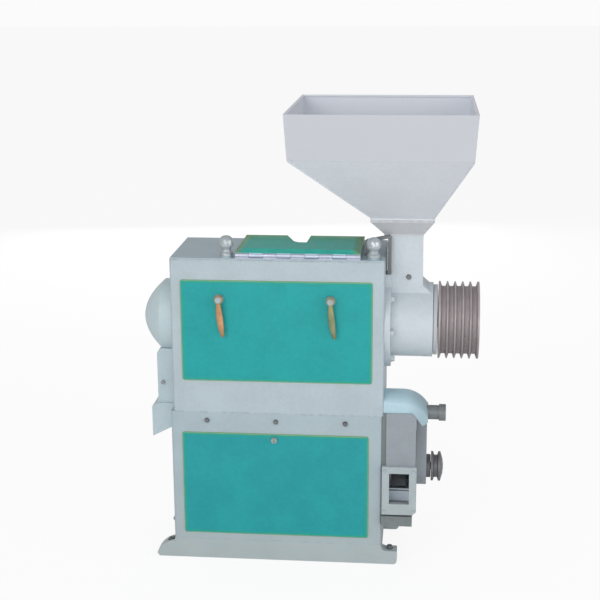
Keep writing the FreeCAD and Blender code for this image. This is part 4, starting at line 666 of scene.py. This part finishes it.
def loft(name, finish, body, sections):
    """A piece through cross-sections of equal point count; each end is fanned to its middle."""
    sections = np.asarray(sections, float)
    ends = [np.broadcast_to(row.mean(axis=0), row.shape) for row in (sections[0], sections[-1])]
    return skin(name, finish, body, np.concatenate([ends[:1], sections, ends[1:]]))


def plate(name, finish, body, outline, shift):
    """A flat plate: an outline of points pushed through by a shift, with its rim bevelled at both
    faces."""
    inset, bevel = 0.0008, 0.0006
    outline = np.asarray(outline, float)
    shift = np.asarray(shift, float)
    middle = outline.mean(axis=0)
    reach = np.linalg.norm(outline - middle, axis=1)[:, None]
    inner = middle + (outline - middle) * (1 - inset / reach)
    step = shift * bevel / np.linalg.norm(shift)
    return loft(name, finish, body, [inner, outline + step, outline + shift - step, inner + shift])


# ---- hopper edges

def hopper_rim():
    """Wire edge rolled round the hopper's mouth: a rod along a rectangle with rounded corners."""
    wire, inset, drop, corner = 0.003, 0.0031, 0.0032, 0.006
    low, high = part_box("hopper")
    x0, x1, y0, y1 = low[0] + inset, high[0] - inset, low[1] + inset, high[1] - inset
    arc = np.linspace(0, np.pi / 2, 6)
    corners = [(x1 - corner, y1 - corner), (x0 + corner, y1 - corner),
               (x0 + corner, y0 + corner), (x1 - corner, y0 + corner)]
    path = [(x + corner * math.cos(a + turn * np.pi / 2),
             y + corner * math.sin(a + turn * np.pi / 2), high[2] - drop)
            for turn, (x, y) in enumerate(corners) for a in arc]
    skin("hopper_rim", "hopper_paint", "frame", sweep(path, wire, 10, closed=True), closed=True)


def hopper_seams():
    """Dressed weld beads down the four hips of the pyramid, from its fold to the neck."""
    neck_height = 0.8935
    fold = [(0.039, -0.228), (0.471, -0.228), (0.471, 0.228), (0.039, 0.228)]
    neck = [(0.228, -0.075), (0.382, -0.075), (0.382, 0.075), (0.228, 0.075)]
    for i in range(4):
        weld(f"hopper_hip_{i + 1}", "hopper_paint", "frame", (*fold[i], hopper_fold),
             (*neck[i], neck_height), 0.0016)


hopper_rim()
hopper_seams()


# ---- hand levers and clamp knobs

def hand_lever(name, node, body, finish, x, z):
    """Cast lever round an eye. Its half width is an eye's half chord blended with a blade's table
    by a sixth-power mean, its middle line leans by the 1.8th power of the drop, and its section
    is a superellipse."""
    plane = -0.1415
    length, lean, eye, thick = 0.090, 0.009, 0.011, 0.0045
    end = length + thick
    u = np.linspace(0, 1, 90)
    s = -eye + (end + eye) * (0.5 - 0.5 * np.cos(np.pi * u))
    chord = np.sqrt(np.clip(eye ** 2 - s ** 2, 0, None))
    blade = np.interp(s, [0, 0.014, 0.03, 0.046, 0.07, length],
                      [0.006, 0.006, 0.0078, 0.0088, 0.0078, 0.0048])
    tip = np.clip((s - length) / (end - length), 0, 1)
    blade *= np.clip(s / 0.006, 0, 1) * np.sqrt(np.clip(1 - tip ** 2, 0, 1))
    half = (chord ** 6 + blade ** 6) ** (1 / 6)
    middle = x + lean * (np.clip(s, 0, None) / length) ** 1.8
    depth = thick * np.clip(half / 0.0035, 0, 1) ** 0.5
    angle = circle(28)
    square = 2 / 3.0
    across = np.sign(np.cos(angle)) * np.abs(np.cos(angle)) ** square
    out = np.sign(np.sin(angle)) * np.abs(np.sin(angle)) ** square
    grid = np.stack([middle[:, None] + half[:, None] * across,
                     plane + depth[:, None] * out,
                     np.broadcast_to((z - s)[:, None], (len(s), len(angle)))], axis=-1)
    piece = skin(name, finish, body, grid)
    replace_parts(piece, node)


def clamp_knob(name, node, body, x):
    """Domed hand nut turned round a vertical line: a collar, a waist and a head whose radius dips
    in six flutes."""
    foot, stud_y = 0.801, -0.105
    steps = 72
    widening = 1.1
    flutes, flute_depth, flute_width = 6, 0.03, 0.24
    profile = np.array([(0, 0), (0.0135, 0), (0.0145, 0.001), (0.0145, 0.006), (0.0138, 0.0075),
                        (0.0118, 0.0105), (0.0106, 0.013), (0.0105, 0.016), (0.0112, 0.0185),
                        (0.0135, 0.0215), (0.0155, 0.024), (0.0164, 0.027), (0.0165, 0.033),
                        (0.0162, 0.0365), (0.0153, 0.040), (0.0137, 0.0435), (0.0112, 0.0465),
                        (0.0078, 0.0487), (0.004, 0.0498), (0, 0.05)])
    profile[:, 0] *= widening
    grid = turned(profile, steps)
    height = profile[:, 1]
    head = np.clip((height - 0.017) / 0.006, 0, 1) * np.clip((0.0485 - height) / 0.008, 0, 1)
    part = np.mod(circle(steps) * flutes / (2 * np.pi) + 0.5, 1) - 0.5
    dip = 1 - flute_depth * head[:, None] * np.exp(-(part / flute_width) ** 2)
    grid[:, :, :2] *= dip[:, :, None]
    piece = skin(name, "knob_steel", body, grid + np.array([x, stud_y, foot]))
    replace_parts(piece, node)


hand_lever("left_latch_lever", "left_latch_handle", "left_latch", "handle_bronze", -0.142, 0.697)
hand_lever("right_latch_lever", "right_latch_handle", "right_latch", "handle_brass", 0.134, 0.697)
clamp_knob("left_hand_nut", "left_clamp_knob", "left_clamp_knob", -0.125)
clamp_knob("right_hand_nut", "right_clamp_knob", "right_clamp_knob", 0.237)


# ---- blower hood, inlet duct and the covers of the feed end

def hood():
    """Suction hood pressed from sheet. Its crest runs level and then along a circle. Towards the
    operator it falls as a quarter ellipse, and rearwards as a sloping line. The underside is
    mitred over the duct."""
    front, ridge, rear = -0.122, -0.062, 0.032
    turn, radius, top = 0.312, 0.073, 0.454
    brow, slope = 0.024, 0.375
    mitre_x, mitre_z = [0.338, 0.363, 0.376], [0.409, 0.376, 0.386]
    xs = np.concatenate([np.linspace(0.265, turn, 6), np.linspace(turn, mitre_x[0], 8)[1:],
                         np.linspace(*mitre_x[:2], 9)[1:], np.linspace(*mitre_x[1:], 6)[1:]])
    floor = np.interp(xs, mitre_x, mitre_z)
    crest = top - radius + np.sqrt(radius ** 2 - np.clip(xs - turn, 0, None) ** 2)
    a = np.linspace(0, np.pi / 2, 16)
    y_front = ridge + (front - ridge) * np.cos(a)
    y_rear = np.linspace(ridge, rear, 12)[1:]
    y_low = np.linspace(rear, front, 8)
    y = np.concatenate([y_front, y_rear, y_low])
    sections = []
    for x, low, high in zip(xs, floor, crest):
        z_front = high - brow + brow * np.sin(a)
        z_rear = np.maximum(high - slope * (y_rear - ridge), low + 0.002)
        z = np.concatenate([z_front, z_rear, np.full(len(y_low), low)])
        sections.append(np.stack([np.full(len(y), x), y, z], axis=-1))
    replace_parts(loft("suction_hood", "hood_paint", "frame", sections), "suction_elbow")


def inlet_duct():
    """Flat duct from the hood to the blower's eye: a half circle below and a top that slopes down
    to the rear."""
    x, thick = 0.347, 0.027
    y, z, radius = -0.020, 0.232, 0.048
    outline = [(x, y + radius * math.cos(t), z + radius * math.sin(t))
               for t in np.linspace(np.pi, 2 * np.pi, 25)]
    outline += [(x, 0.028, 0.381), (x, -0.068, 0.404)]
    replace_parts(plate("inlet_duct", "blower_paint", "frame", outline, (thick, 0, 0)),
                "blower_inlet_box")


def feed_end():
    """End of the feed drum: a sleeve with an end wall, the web that slopes from the neck down to
    it, and the bearing ring between drum and pulley. Sleeve and ring are profiles of (x, radius)
    carried round the main shaft's line."""
    neck, wall, bore = 0.3562, 0.3836, 0.032
    sleeve = [(neck, 0.0845), (neck, 0.0943), (0.3828, 0.0943), (wall, 0.0935), (wall, bore),
              (0.3800, bore), (0.3800, 0.0845)]
    ring = [(0.3842, bore), (0.3842, 0.0878), (0.3850, 0.0890), (0.3936, 0.0890),
            (0.3945, 0.0880), (0.3945, bore)]
    for name, finish, profile in (("drum_end", "housing_paint", sleeve),
                                  ("bearing_ring", "apron_paint", ring)):
        grid = turned([(r, x) for x, r in profile], 96) @ turn_to((1, 0, 0)).T
        skin(name, finish, "frame", grid + np.array([0, 0, shaft_height]), closed=True)
    half = 0.0503
    web = [(neck, -half, 0.7205), (wall, -half, 0.6965), (wall, -half, 0.688),
           (neck, -half, 0.688)]
    plate("neck_web", "housing_paint", "frame", web, (0, 2 * half, 0))


def gap_shade_strip():
    """Strip that closes the gap between the cabinet's wall and the blower's hanger, in the
    bracket's dark paint: a painted shade for that gap.
    """
    x0, x1, y, z0, z1 = 0.2622, 0.2728, -0.122, 0.147, 0.408
    strip = [(x0, y, z0), (x1, y, z0), (x1, y, z1), (x0, y, z1)]
    plate("hanger_gap_shade_strip", "bracket_paint", "frame", strip, (0, 0.020, 0))


hood()
inlet_duct()
feed_end()
gap_shade_strip()


# ---- fasteners

def fasteners():
    """Bolt heads of every flange and plate, each group at the places and along the axis of its
    joint face."""
    forward, right, left, up = (0, -1, 0), (1, 0, 0), (-1, 0, 0), (0, 0, 1)
    small, middling, large = (hex_head(across, height) for across, height in
                              ((0.006, 0.003), (0.010, 0.005), (0.013, 0.007)))
    groups = {
        "seam_bolts": (middling, "fastener_steel", forward,
                       [(x, -0.125, 0.378) for x in (-0.180, -0.005, 0.170)]),
        "feed_flange_bolts": (large, "housing_paint", right, around_x(8, 0.109, 41.0, 0.279)),
        "discharge_flange_bolts": (middling, "nose_paint", left,
                                   around_x(6, 0.084, 30.0, -0.288)),
        "outlet_frame_bolts": (small, "outlet_paint", forward,
                               [(0.3065 + i * 0.037, -0.134, 0.2055 + j * 0.054)
                                for i in (-1, 1) for j in (-1, 1)]),
        "throat_bolts": (small, "throat_paint", forward,
                         [(x, -0.0535, 0.8655) for x in (0.270, 0.352)]),
        "neck_plug": (middling, "fastener_steel", forward, [(0.322, -0.050, 0.741)]),
        "foot_bolts": (large, "fastener_steel", up,
                       [(x, y, 0.036) for x in (-0.284, 0.284) for y in (-0.107, 0.107)]),
    }
    for name, (grid, finish, axis, spots) in groups.items():
        many(name, finish, "frame", grid, [(spot, axis) for spot in spots])


fasteners()
